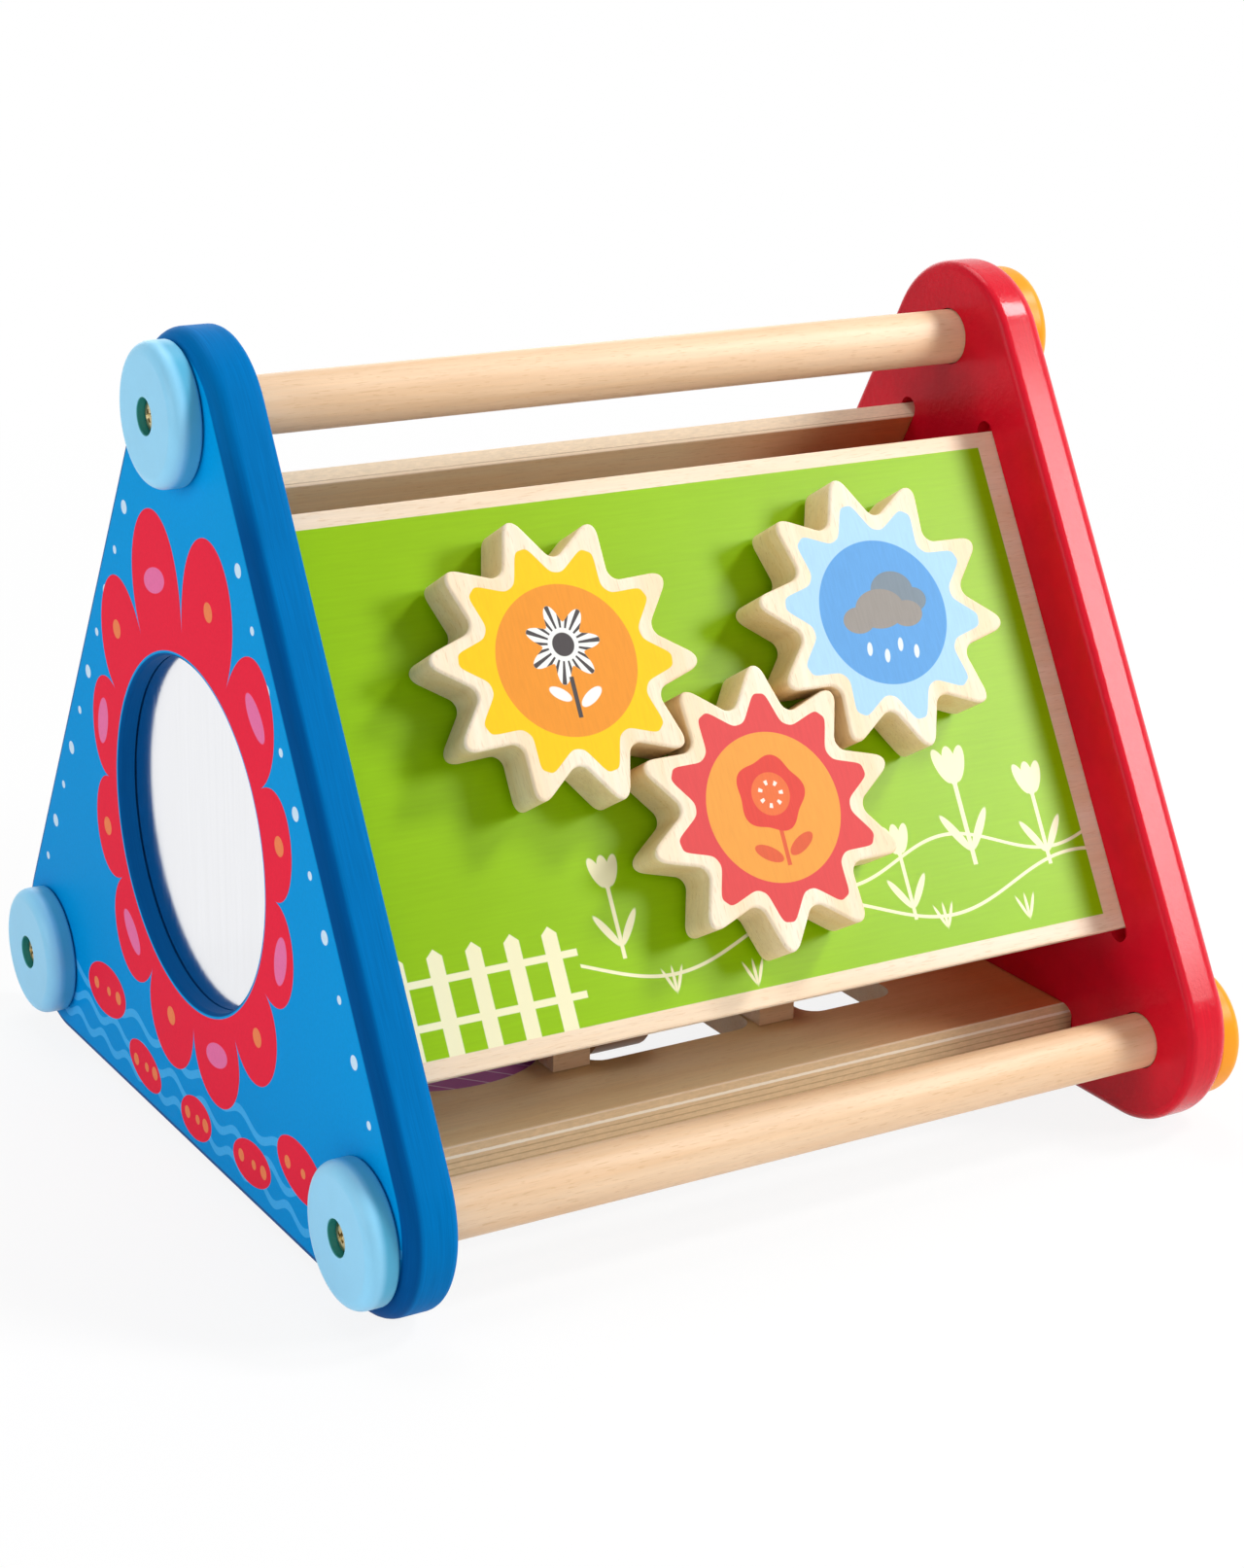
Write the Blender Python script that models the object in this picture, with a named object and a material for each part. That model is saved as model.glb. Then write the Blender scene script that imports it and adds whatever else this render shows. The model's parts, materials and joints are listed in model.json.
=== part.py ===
# Wooden activity box for a small child: two rounded triangular end panels, three dowels and three plywood
# sides. One side carries three meshing gears, one end panel a mirror, and the floor a roller on a rod.
# Metres, +Z up. The length runs along X, the gears face -Y, and the origin is under the middle of the box.
import math

import bmesh
import bpy
from mathutils import Matrix, Vector

# Clearances
CLEARANCE = 0.0003        # between two pieces that lie against each other
PLAY = 0.0003             # round a shaft that turns in a hole

# Frame
DOWEL_SPACING = 0.200     # side of the triangle through the three dowel centres
INNER_LENGTH = 0.2165     # between the inner faces of the end panels
DOWEL_DIAMETER = 0.015
DOWEL_CHAMFER = 0.0008
SOCKET_DEPTH = 0.008      # blind hole that takes a dowel's end
END_THICKNESS = 0.0135
END_MARGIN = 0.024        # from the line between two dowel centres out to the flat edge
END_CORNER_RADIUS = 0.0275
END_OUTER_ROUND = 0.0045
END_INNER_ROUND = 0.003

# Caps and screws at the dowels' ends
CAP_DIAMETER = 0.036
CAP_THICKNESS = 0.0077
CAP_RIM_ROUND = 0.0034
CAP_BACK_ROUND = 0.0008
SCREW_HOLE_DIAMETER = 0.009
SCREW_SHANK_DIAMETER = 0.004
SCREW_SHANK_LENGTH = 0.034
SCREW_HEAD_DIAMETER = 0.008
SCREW_HEAD_HEIGHT = 0.0024
SCREW_DOME = 0.00084      # how much of the head's height is domed
SCREW_POINT = 0.0024      # length of the shank's point
SCREW_HEAD_DEPTH = 0.001  # how far the head lies below the cap's face
RECESS_WIDTH = 0.0011
RECESS_LENGTH = 0.0048
RECESS_DEPTH = 0.0013

# Plywood sides; an offset is how far a side's inner face lies outward from the plane of the dowel centres
PLY_THICKNESS = 0.006
GEAR_SIDE_OFFSET = 0.0012
GEAR_SIDE_WIDTH = 0.140
REAR_SIDE_OFFSET = 0.0002
REAR_SIDE_WIDTH = 0.1414
FLOOR_THICKNESS = 0.009
FLOOR_OFFSET = 0.0012
FLOOR_WIDTH = 0.135
PLY_EDGE_ROUND = 0.0006
GROOVE_DEPTH = 0.004      # slot in an end panel that holds a side's end

# Gears
GEAR_TEETH = 10
GEAR_THICKNESS = 0.0135
GEAR_STANDOFF = 0.0015    # between the gear's back and the panel
TOOTH_CORNER = 0.0398     # radius of a tooth's point before it is rounded
VALLEY_CORNER = 0.025     # radius of a valley's bottom before it is rounded
TOOTH_ROUND = 0.003
VALLEY_ROUND = 0.0032
GEAR_EDGE_ROUND = 0.0009
GEAR_SPACING = 0.0647     # centre to centre
GEAR_SPREAD = 46.5        # degrees between the up-slope direction and the line to an upper gear
LOW_GEAR_ALONG = 0.001    # the lower gear's centre on its panel, along the length
LOW_GEAR_UP = -0.02285    # and up the slope
UPPER_GEAR_REST = 2.0     # degrees that the blue gear rests turned within its backlash
SHAFT_DIAMETER = 0.010
SHAFT_IN_GEAR = 0.009     # depth of the gear's blind hole
SPACER_DIAMETER = 0.020
RETAINER_DIAMETER = 0.020
RETAINER_THICKNESS = 0.005
SMALL_SHANK_DIAMETER = 0.003
SMALL_SHANK_LENGTH = 0.014
SUPPORT_SHANK_LENGTH = 0.015
SMALL_HEAD_DIAMETER = 0.006
SMALL_HEAD_HEIGHT = 0.0018
SMALL_DOME = 0.00063
SMALL_POINT = 0.0018
SMALL_RECESS_WIDTH = 0.0009
SMALL_RECESS_LENGTH = 0.0036
SMALL_RECESS_DEPTH = 0.001

# Mirror in the blue end panel
MIRROR_HOLE_DIAMETER = 0.091
MIRROR_RAISE = 0.0078     # centre of the mirror above the centre of the triangle
MIRROR_LIP = 0.0045       # thickness of the panel's lip in front of the mirror
MIRROR_LIP_WIDTH = 0.004
MIRROR_LIP_ROUND = 0.0012
MIRROR_THICKNESS = 0.003

# Roller over the floor's first window
WINDOW_FRONT = -0.0404    # front edge of both windows, in Y
WINDOW_DEPTH = 0.044
WINDOW_CORNER = 0.006
FIRST_WINDOW_LEFT = -0.0275
FIRST_WINDOW_WIDTH = 0.0523
SECOND_WINDOW_LEFT = 0.0414
SECOND_WINDOW_WIDTH = 0.0302
ROD_DIAMETER = 0.008
ROD_Y = -0.030
SUPPORT_WIDTH = 0.023     # along Y, also the diameter of its round top
SUPPORT_THICKNESS = 0.011
SUPPORT_SETBACK = 0.0004  # from the window's edge to the support
ROD_CAP_DIAMETER = 0.022
ROD_CAP_THICKNESS = 0.005
ROD_CAP_ROUND = 0.0015
ROD_CAP_BORE_DEPTH = 0.0025
ROLLER_DIAMETER = 0.026
ROLLER_LENGTH = 0.019
ROLLER_EDGE_ROUND = 0.0015
BUSH_WALL = 0.0015
BUSH_OVERHANG = 0.0004    # how far the bush stands out of each end of the roller

# Roundness
CORNER_STEPS = 12
CAP_STEPS = 30
DOWEL_STEPS = 22
SCREW_STEPS = 16
SMALL_SCREW_STEPS = 12
SHAFT_STEPS = 18
MIRROR_STEPS = 48
WIDE_ROUND_STEPS = 4      # of an end panel's outer edge and a cap's rim
NARROW_ROUND_STEPS = 2    # of the smaller roundings
LIP_STEPS = 3
GROOVE_STEPS = 6
WINDOW_STEPS = 5
TOOTH_STEPS = 5
VALLEY_STEPS = 4
GEAR_BACK_STEPS = 1
SUPPORT_STEPS = 12
DOME_SHOULDER = 0.72      # share of a screw head's radius where its dome has a ring of points

INRADIUS = DOWEL_SPACING / (2 * math.sqrt(3))
CENTRE_HEIGHT = INRADIUS + END_MARGIN
DOWEL_RADIUS = DOWEL_DIAMETER / 2
DOWEL_ANGLES = {"top": 90, "front": 210, "rear": 330}  # degrees from +Y towards +Z
SIDE_ANGLES = {"gear": 150, "rear": 30, "floor": 270}
SIDE_BOARDS = {           # width, thickness and offset of each side
    "gear": (GEAR_SIDE_WIDTH, PLY_THICKNESS, GEAR_SIDE_OFFSET),
    "rear": (REAR_SIDE_WIDTH, PLY_THICKNESS, REAR_SIDE_OFFSET),
    "floor": (FLOOR_WIDTH, FLOOR_THICKNESS, FLOOR_OFFSET),
}

BLUE = (0.0, 0.235, 0.62)
LIGHT_BLUE = (0.25, 0.60, 0.85)
RED = (0.62, 0.012, 0.03)
ORANGE = (0.90, 0.35, 0.02)
DARK_RED = (0.35, 0.01, 0.02)
WOOD = (0.85, 0.66, 0.42)
PLY = (0.82, 0.62, 0.40)
BROWN_WOOD = (0.36, 0.20, 0.09)
GREEN = (0.30, 0.55, 0.02)
YELLOW = (0.95, 0.62, 0.01)
GEAR_BLUE = (0.35, 0.62, 0.88)
GEAR_RED = (0.75, 0.10, 0.08)
STEEL = (0.55, 0.50, 0.40)
SILVER = (0.90, 0.91, 0.93)
GREY_BOARD = (0.42, 0.34, 0.26)


# Scene helpers

def clear_scene():
    for thing in list(bpy.data.objects):
        bpy.data.objects.remove(thing)


def material(name, colour, roughness, metallic=0.0):
    made = bpy.data.materials.new(name)
    made.use_nodes = True
    shader = made.node_tree.nodes["Principled BSDF"]
    shader.inputs["Base Color"].default_value = (*colour, 1)
    shader.inputs["Roughness"].default_value = roughness
    shader.inputs["Metallic"].default_value = metallic
    made.diffuse_color = (*colour, 1)
    return made


def mesh_of(bm, name):
    bmesh.ops.recalc_face_normals(bm, faces=bm.faces)
    mesh = bpy.data.meshes.new(name)
    bm.to_mesh(mesh)
    bm.free()
    mesh.shade_smooth()
    mesh.set_sharp_from_angle(angle=math.radians(30))
    return mesh


def place(name, mesh, matrix, look=None):
    thing = bpy.data.objects.new(name, mesh)
    bpy.context.scene.collection.objects.link(thing)
    thing.matrix_world = matrix
    if look:
        # The material sits on the object, so that copies of one mesh can differ.
        if not mesh.materials:
            mesh.materials.append(None)
        thing.material_slots[0].link = "OBJECT"
        thing.material_slots[0].material = look
    return thing


def cut(thing, cutter_mesh, matrix):
    cutter = place(f"{thing.name}_cutter", cutter_mesh, matrix)
    cutter.hide_render = True
    cutter.display_type = "WIRE"
    modifier = thing.modifiers.new("Cut", "BOOLEAN")
    modifier.operation = "DIFFERENCE"
    modifier.solver = "EXACT"
    modifier.object = cutter


def baked(thing, name):
    # One finished mesh for several copies; the object that it was cut on is removed.
    bpy.context.view_layer.update()
    graph = bpy.context.evaluated_depsgraph_get()
    mesh = bpy.data.meshes.new_from_object(thing.evaluated_get(graph))
    mesh.name = name
    cutters = [modifier.object for modifier in thing.modifiers]
    for spent in cutters + [thing]:
        bpy.data.objects.remove(spent)
    mesh.shade_smooth()
    mesh.set_sharp_from_angle(angle=math.radians(30))
    return mesh


# Shape helpers

def arc(centre, radius, start, end, steps):
    # Points of a circular arc in a plane, angles in degrees.
    points = []
    for step in range(steps + 1):
        angle = math.radians(start + (end - start) * step / steps)
        points.append((centre[0] + radius * math.cos(angle), centre[1] + radius * math.sin(angle)))
    return points


def turned(profile, steps, closed=False):
    # Turns (radius, height) points about Z. An open profile starts and ends on the axis.
    bm = bmesh.new()
    verts = [bm.verts.new((radius, 0, height)) for radius, height in profile]
    edges = [bm.edges.new(pair) for pair in zip(verts, verts[1:])]
    if closed:
        edges.append(bm.edges.new((verts[-1], verts[0])))
    bmesh.ops.spin(bm, geom=verts + edges, cent=(0, 0, 0), axis=(0, 0, 1), angle=2 * math.pi,
                   steps=steps, use_merge=True)
    bmesh.ops.remove_doubles(bm, verts=bm.verts, dist=1e-7)
    return bm


def extruded(outline, depth):
    # A flat outline in XY, extruded from z = 0 up to the depth.
    bm = bmesh.new()
    face = bm.faces.new([bm.verts.new((x, y, 0)) for x, y in outline])
    made = bmesh.ops.extrude_face_region(bm, geom=[face])
    bmesh.ops.translate(bm, vec=(0, 0, depth), verts=[v for v in made["geom"] if isinstance(v, bmesh.types.BMVert)])
    return bm


def rim_edges(bm, height):
    return [edge for edge in bm.edges
            if all(abs(vert.co.z - height) < 1e-6 for vert in edge.verts)
            and len({round(face.normal.z) for face in edge.link_faces}) > 1]


def round_edges(bm, edges, radius, segments):
    bmesh.ops.bevel(bm, geom=edges, offset=radius, offset_type="OFFSET", segments=segments, profile=0.5,
                    affect="EDGES", material=-1, clamp_overlap=True)


def rounded_rectangle(left, right, low, high, radius, steps):
    points = []
    corners = ((right, high, 0), (left, high, 90), (left, low, 180), (right, low, 270))
    for x, y, start in corners:
        centre = (x - math.copysign(radius, x - (left + right) / 2),
                  y - math.copysign(radius, y - (low + high) / 2))
        points += arc(centre, radius, start, start + 90, steps)
    return points


def rounded_triangle(flat_distance, radius, steps):
    points = []
    for corner in DOWEL_ANGLES.values():
        turn = math.radians(corner)
        reach = 2 * (flat_distance - radius)
        points += arc((reach * math.cos(turn), reach * math.sin(turn)), radius, corner - 60, corner + 60, steps)
    return points


# Frames: where each piece's own axes lie in the box

def along_x(x, y=0.0, z=0.0, outward=1):
    # Local Z points along X, outward from the middle; local X is Y turned the same way, local Y stays up.
    axes = Matrix(((0, 0, outward), (outward, 0, 0), (0, 1, 0))).to_4x4()
    return Matrix.Translation((x, y, CENTRE_HEIGHT + z)) @ axes


def dowel_place(where):
    turn = math.radians(DOWEL_ANGLES[where])
    reach = DOWEL_SPACING / math.sqrt(3)
    return reach * math.cos(turn), reach * math.sin(turn)


def side_frame(side):
    # Local X along the box, local Z outward, origin midway between two dowel centres.
    turn = math.radians(SIDE_ANGLES[side])
    outward = Vector((0, math.cos(turn), math.sin(turn)))
    along = Vector((1, 0, 0))
    axes = Matrix((along, outward.cross(along), outward)).transposed().to_4x4()
    return Matrix.Translation(Vector((0, 0, CENTRE_HEIGHT)) + outward * INRADIUS) @ axes


# Dowels, caps and screws

def make_dowels(look):
    half = INNER_LENGTH / 2 + SOCKET_DEPTH - CLEARANCE
    bore = SCREW_SHANK_DIAMETER / 2 + CLEARANCE
    tip = INNER_LENGTH / 2 + END_THICKNESS + CLEARANCE + CAP_THICKNESS - SCREW_HEAD_DEPTH
    bore_end = tip - SCREW_HEAD_HEIGHT - SCREW_SHANK_LENGTH - 2 * CLEARANCE
    upper = [(bore, bore_end), (bore, half), (DOWEL_RADIUS - DOWEL_CHAMFER, half), (DOWEL_RADIUS, half - DOWEL_CHAMFER)]
    lower = [(radius, -height) for radius, height in reversed(upper)]
    profile = [(0, bore_end)] + upper + lower + [(0, -bore_end)]
    mesh = mesh_of(turned(profile, DOWEL_STEPS), "dowel")
    names = {"top": "handle_dowel", "front": "front_dowel", "rear": "rear_dowel"}
    for where, name in names.items():
        y, z = dowel_place(where)
        place(name, mesh, along_x(0, y, z), look)


def cap_mesh():
    radius = CAP_DIAMETER / 2
    bore = SCREW_SHANK_DIAMETER / 2 + CLEARANCE
    seat = CAP_THICKNESS - SCREW_HEAD_DEPTH - SCREW_HEAD_HEIGHT - CLEARANCE
    mouth = SCREW_HOLE_DIAMETER / 2
    profile = [(bore, 0), (radius - CAP_BACK_ROUND, 0)]
    rim = (radius - CAP_RIM_ROUND, CAP_THICKNESS - CAP_RIM_ROUND)
    profile += [(radius, CAP_BACK_ROUND)] + arc(rim, CAP_RIM_ROUND, 0, 90, WIDE_ROUND_STEPS)
    profile += [(mouth + CLEARANCE, CAP_THICKNESS), (mouth, CAP_THICKNESS - CLEARANCE), (mouth, seat), (bore, seat)]
    return mesh_of(turned(profile, CAP_STEPS, closed=True), "cap")


def screw_mesh(name, shank, length, point, head, height, dome, recess, steps):
    # Local Z = 0 is the underside of the head; the head is domed and the shank ends in a short point.
    profile = [(0, -length), (shank / 2, point - length), (shank / 2, 0), (head / 2, 0)]
    profile += [(head / 2 * share, height - dome * share ** 2) for share in (1, DOME_SHOULDER, 0)]
    screw = place(name, mesh_of(turned(profile, steps), name), Matrix.Identity(4))
    width, span, depth = recess
    w, s = width / 2, span / 2
    cross = [(s, -w), (s, w), (w, w), (w, s), (-w, s), (-w, w), (-s, w), (-s, -w), (-w, -w), (-w, -s), (w, -s), (w, -w)]
    cut(screw, mesh_of(extruded(cross, height), f"{name}_cross"), Matrix.Translation((0, 0, height - depth)))
    return baked(screw, name)


def make_caps_and_screws(looks):
    cap = cap_mesh()
    recess = (RECESS_WIDTH, RECESS_LENGTH, RECESS_DEPTH)
    screw = screw_mesh("end_screw", SCREW_SHANK_DIAMETER, SCREW_SHANK_LENGTH, SCREW_POINT, SCREW_HEAD_DIAMETER,
                       SCREW_HEAD_HEIGHT, SCREW_DOME, recess, SCREW_STEPS)
    back = INNER_LENGTH / 2 + END_THICKNESS + CLEARANCE
    head = back + CAP_THICKNESS - SCREW_HEAD_DEPTH - SCREW_HEAD_HEIGHT
    for end, outward, look in (("blue", -1, looks["light_blue"]), ("red", 1, looks["orange"])):
        for where in DOWEL_ANGLES:
            y, z = dowel_place(where)
            place(f"{end}_{where}_cap", cap, along_x(outward * back, y, z, outward), look)
            place(f"{end}_{where}_screw", screw, along_x(outward * head, y, z, outward), looks["steel"])


# End panels

def groove_mesh(width, thickness):
    # A slot with round ends, a little longer than the side that stands in it.
    half_height = thickness / 2 + CLEARANCE
    half_width = width / 2 + CLEARANCE + half_height
    outline = rounded_rectangle(-half_width, half_width, -half_height, half_height, half_height, GROOVE_STEPS)
    bm = extruded(outline, 2 * GROOVE_DEPTH)
    bmesh.ops.remove_doubles(bm, verts=bm.verts, dist=1e-7)
    return mesh_of(bm, "groove")


def socket_mesh():
    radius = DOWEL_RADIUS + CLEARANCE
    bore = SCREW_SHANK_DIAMETER / 2 + CLEARANCE
    profile = [(0, -SOCKET_DEPTH), (radius, -SOCKET_DEPTH), (radius, SOCKET_DEPTH)]
    profile += [(bore, SOCKET_DEPTH), (bore, 2 * END_THICKNESS), (0, 2 * END_THICKNESS)]
    return mesh_of(turned(profile, DOWEL_STEPS), "socket")


def mirror_hole_mesh():
    # The hole seen from outside, rounded at its mouth, and the wider rebate behind it.
    mouth = MIRROR_HOLE_DIAMETER / 2
    rebate = mouth + MIRROR_LIP_WIDTH
    step = END_THICKNESS - MIRROR_LIP
    flare = arc((mouth + MIRROR_LIP_ROUND, END_THICKNESS - MIRROR_LIP_ROUND), MIRROR_LIP_ROUND, 180, 90,
                LIP_STEPS)
    profile = [(0, -step), (rebate, -step), (rebate, step), (mouth, step)] + flare
    profile += [(mouth + MIRROR_LIP_ROUND, 2 * END_THICKNESS), (0, 2 * END_THICKNESS)]
    return mesh_of(turned(profile, MIRROR_STEPS), "mirror_hole")


def make_end_panel(name, outward, look):
    # Local Z = 0 is the inner face and local Z = thickness the outer face.
    bm = extruded(rounded_triangle(INRADIUS + END_MARGIN, END_CORNER_RADIUS, CORNER_STEPS), END_THICKNESS)
    bmesh.ops.recalc_face_normals(bm, faces=bm.faces)
    round_edges(bm, rim_edges(bm, END_THICKNESS), END_OUTER_ROUND, WIDE_ROUND_STEPS)
    round_edges(bm, rim_edges(bm, 0), END_INNER_ROUND, NARROW_ROUND_STEPS)
    frame = along_x(outward * INNER_LENGTH / 2, outward=outward)
    panel = place(name, mesh_of(bm, name), frame, look)
    socket = socket_mesh()
    for where in DOWEL_ANGLES:
        y, z = dowel_place(where)
        cut(panel, socket, along_x(outward * INNER_LENGTH / 2, y, z, outward))
    for side, (width, thickness, offset) in SIDE_BOARDS.items():
        out = side_frame(side).col[2].xyz
        inward = Vector((outward, 0, 0))
        axes = Matrix((out.cross(inward), out, inward)).transposed().to_4x4()
        start = Vector((outward * (INNER_LENGTH / 2 - GROOVE_DEPTH), 0, CENTRE_HEIGHT))
        start += out * (INRADIUS + offset + thickness / 2)
        cut(panel, groove_mesh(width, thickness), Matrix.Translation(start) @ axes)
    return panel


def make_end_panels(looks):
    blue = make_end_panel("blue_end_panel", -1, looks["blue"])
    make_end_panel("red_end_panel", 1, looks["red"])
    inner = INNER_LENGTH / 2
    cut(blue, mirror_hole_mesh(), along_x(-inner, 0, MIRROR_RAISE, -1))
    radius = MIRROR_HOLE_DIAMETER / 2 + MIRROR_LIP_WIDTH - CLEARANCE
    front = END_THICKNESS - MIRROR_LIP - CLEARANCE
    back = front - MIRROR_THICKNESS
    glass = [(0, back), (radius, back), (radius, front), (0, front)]
    board = [(0, CLEARANCE), (radius, CLEARANCE), (radius, back - CLEARANCE), (0, back - CLEARANCE)]
    frame = along_x(-inner, 0, MIRROR_RAISE, -1)
    place("mirror", mesh_of(turned(glass, MIRROR_STEPS), "mirror"), frame, looks["silver"])
    place("mirror_backing", mesh_of(turned(board, MIRROR_STEPS), "mirror_backing"), frame, looks["board"])


# Plywood sides

def board_mesh(side):
    width, thickness, offset = SIDE_BOARDS[side]
    half_length = INNER_LENGTH / 2 + GROOVE_DEPTH - CLEARANCE
    half_width = width / 2
    outline = [(-half_length, -half_width), (half_length, -half_width), (half_length, half_width),
               (-half_length, half_width)]
    bm = extruded(outline, thickness)
    bmesh.ops.translate(bm, vec=(0, 0, offset), verts=bm.verts)
    long_edges = [edge for edge in bm.edges if abs(edge.verts[0].co.x - edge.verts[1].co.x) > half_length]
    round_edges(bm, long_edges, PLY_EDGE_ROUND, NARROW_ROUND_STEPS)
    return mesh_of(bm, f"{side}_board")


def gear_places():
    # Each gear's centre on its panel and the angle of one tooth, in degrees, from the length towards up-slope.
    half_pitch = 180 / GEAR_TEETH
    low = Vector((LOW_GEAR_ALONG, LOW_GEAR_UP))
    left, right = 90 + GEAR_SPREAD, 90 - GEAR_SPREAD
    low_tooth = left + half_pitch
    lean = (low_tooth - right) % (2 * half_pitch)
    places = {"red": (low, low_tooth)}
    for name, direction, tooth in (("yellow", left, left + 180),
                                   ("blue", right, right + 180 - lean + half_pitch + UPPER_GEAR_REST)):
        turn = math.radians(direction)
        places[name] = (low + GEAR_SPACING * Vector((math.cos(turn), math.sin(turn))), tooth)
    return places


def windows():
    return ((FIRST_WINDOW_LEFT, FIRST_WINDOW_LEFT + FIRST_WINDOW_WIDTH),
            (SECOND_WINDOW_LEFT, SECOND_WINDOW_LEFT + SECOND_WINDOW_WIDTH))


def make_sides(looks):
    gear_panel = place("gear_panel", board_mesh("gear"), side_frame("gear"), looks["green"])
    hole = [(0, -PLY_THICKNESS), (SHAFT_DIAMETER / 2 + PLAY, -PLY_THICKNESS),
            (SHAFT_DIAMETER / 2 + PLAY, 2 * PLY_THICKNESS), (0, 2 * PLY_THICKNESS)]
    hole = mesh_of(turned(hole, SHAFT_STEPS), "shaft_hole")
    for centre, _ in gear_places().values():
        cut(gear_panel, hole, side_frame("gear") @ Matrix.Translation((*centre, GEAR_SIDE_OFFSET)))
    place("rear_panel", board_mesh("rear"), side_frame("rear"), looks["ply"])
    floor = place("floor_panel", board_mesh("floor"), side_frame("floor"), looks["ply"])
    for left, right in windows():
        # The floor's own Y runs towards the front, so the window's front edge is its far side.
        outline = rounded_rectangle(left, right, -WINDOW_FRONT - WINDOW_DEPTH, -WINDOW_FRONT, WINDOW_CORNER,
                                    WINDOW_STEPS)
        window = mesh_of(extruded(outline, 3 * FLOOR_THICKNESS), "window")
        cut(floor, window, side_frame("floor") @ Matrix.Translation((0, 0, FLOOR_OFFSET - FLOOR_THICKNESS)))
    return floor


# Gears with their shafts, spacers and retainers

def gear_mesh():
    half_pitch = math.pi / GEAR_TEETH
    outline = []
    for corner in range(2 * GEAR_TEETH):
        radius = VALLEY_CORNER if corner % 2 else TOOTH_CORNER
        outline.append((radius * math.cos(corner * half_pitch), radius * math.sin(corner * half_pitch)))
    bm = extruded(outline, GEAR_THICKNESS)
    middle = (TOOTH_CORNER + VALLEY_CORNER) / 2
    upright = [edge for edge in bm.edges if abs(edge.verts[0].co.z - edge.verts[1].co.z) > GEAR_THICKNESS / 2]
    teeth = [edge for edge in upright if edge.verts[0].co.xy.length > middle]
    valleys = [edge for edge in upright if edge.verts[0].co.xy.length <= middle]
    # How far along the flanks each rounding reaches, from the angle between them.
    flank = Vector((TOOTH_CORNER - VALLEY_CORNER * math.cos(half_pitch), VALLEY_CORNER * math.sin(half_pitch)))
    tooth_angle = math.atan2(flank.y, flank.x)
    round_edges(bm, teeth, TOOTH_ROUND / math.tan(tooth_angle), TOOTH_STEPS)
    valleys = [edge for edge in valleys if edge.is_valid]
    round_edges(bm, valleys, VALLEY_ROUND / math.tan(tooth_angle + half_pitch), VALLEY_STEPS)
    bmesh.ops.recalc_face_normals(bm, faces=bm.faces)
    round_edges(bm, rim_edges(bm, GEAR_THICKNESS), GEAR_EDGE_ROUND, NARROW_ROUND_STEPS)
    round_edges(bm, rim_edges(bm, 0), GEAR_EDGE_ROUND, GEAR_BACK_STEPS)
    gear = place("gear", mesh_of(bm, "gear"), Matrix.Identity(4))
    bore = SHAFT_DIAMETER / 2 + CLEARANCE
    hole = [(0, -SHAFT_IN_GEAR), (bore, -SHAFT_IN_GEAR), (bore, SHAFT_IN_GEAR), (0, SHAFT_IN_GEAR)]
    cut(gear, mesh_of(turned(hole, SHAFT_STEPS), "gear_bore"), Matrix.Identity(4))
    return baked(gear, "gear")


def ring_mesh(name, inner, outer, low, high, round_by, steps):
    profile = [(inner, low), (outer - round_by, low), (outer, low + round_by), (outer, high - round_by),
               (outer - round_by, high), (inner, high)]
    return mesh_of(turned(profile, steps, closed=True), name)


def shaft_mesh(low, high):
    radius, pilot = SHAFT_DIAMETER / 2, SMALL_SHANK_DIAMETER / 2 + CLEARANCE
    pilot_end = low - RETAINER_THICKNESS - 2 * CLEARANCE + SMALL_SHANK_LENGTH + CLEARANCE
    profile = [(0, pilot_end), (pilot, pilot_end), (pilot, low), (radius, low), (radius, high - CLEARANCE),
               (radius - CLEARANCE, high), (0, high)]
    return mesh_of(turned(profile, SHAFT_STEPS), "gear_shaft")


def make_gears(looks):
    back = GEAR_SIDE_OFFSET + PLY_THICKNESS + GEAR_STANDOFF
    gear = gear_mesh()
    shaft = shaft_mesh(GEAR_SIDE_OFFSET, back + SHAFT_IN_GEAR - CLEARANCE)
    bore = SHAFT_DIAMETER / 2 + CLEARANCE
    spacer = ring_mesh("gear_spacer", bore, SPACER_DIAMETER / 2, back - GEAR_STANDOFF + CLEARANCE,
                       back - CLEARANCE, CLEARANCE / 2, SHAFT_STEPS)
    inside = GEAR_SIDE_OFFSET - CLEARANCE
    pilot = SMALL_SHANK_DIAMETER / 2 + CLEARANCE
    retainer = ring_mesh("gear_retainer", pilot, RETAINER_DIAMETER / 2, inside - RETAINER_THICKNESS, inside,
                         CLEARANCE, SHAFT_STEPS)
    screw = small_screw_mesh("gear_screw", SMALL_SHANK_LENGTH)
    flip = Matrix.Rotation(math.pi, 4, "X")
    for name, (centre, tooth) in gear_places().items():
        frame = side_frame("gear") @ Matrix.Translation((*centre, 0))
        turn = Matrix.Rotation(math.radians(tooth), 4, "Z")
        place(f"{name}_gear", gear, frame @ Matrix.Translation((0, 0, back)) @ turn, looks[f"{name}_gear"])
        place(f"{name}_gear_shaft", shaft, frame, looks["wood"])
        place(f"{name}_gear_spacer", spacer, frame, looks["board"])
        place(f"{name}_gear_retainer", retainer, frame, looks["wood"])
        under_head = Matrix.Translation((0, 0, inside - RETAINER_THICKNESS - CLEARANCE))
        place(f"{name}_gear_screw", screw, frame @ under_head @ flip, looks["steel"])


def small_screw_mesh(name, length):
    recess = (SMALL_RECESS_WIDTH, SMALL_RECESS_LENGTH, SMALL_RECESS_DEPTH)
    return screw_mesh(name, SMALL_SHANK_DIAMETER, length, SMALL_POINT, SMALL_HEAD_DIAMETER, SMALL_HEAD_HEIGHT,
                      SMALL_DOME, recess, SMALL_SCREW_STEPS)


# Roller on its rod over the floor's first window

def floor_top():
    return -INRADIUS - FLOOR_OFFSET


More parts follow.
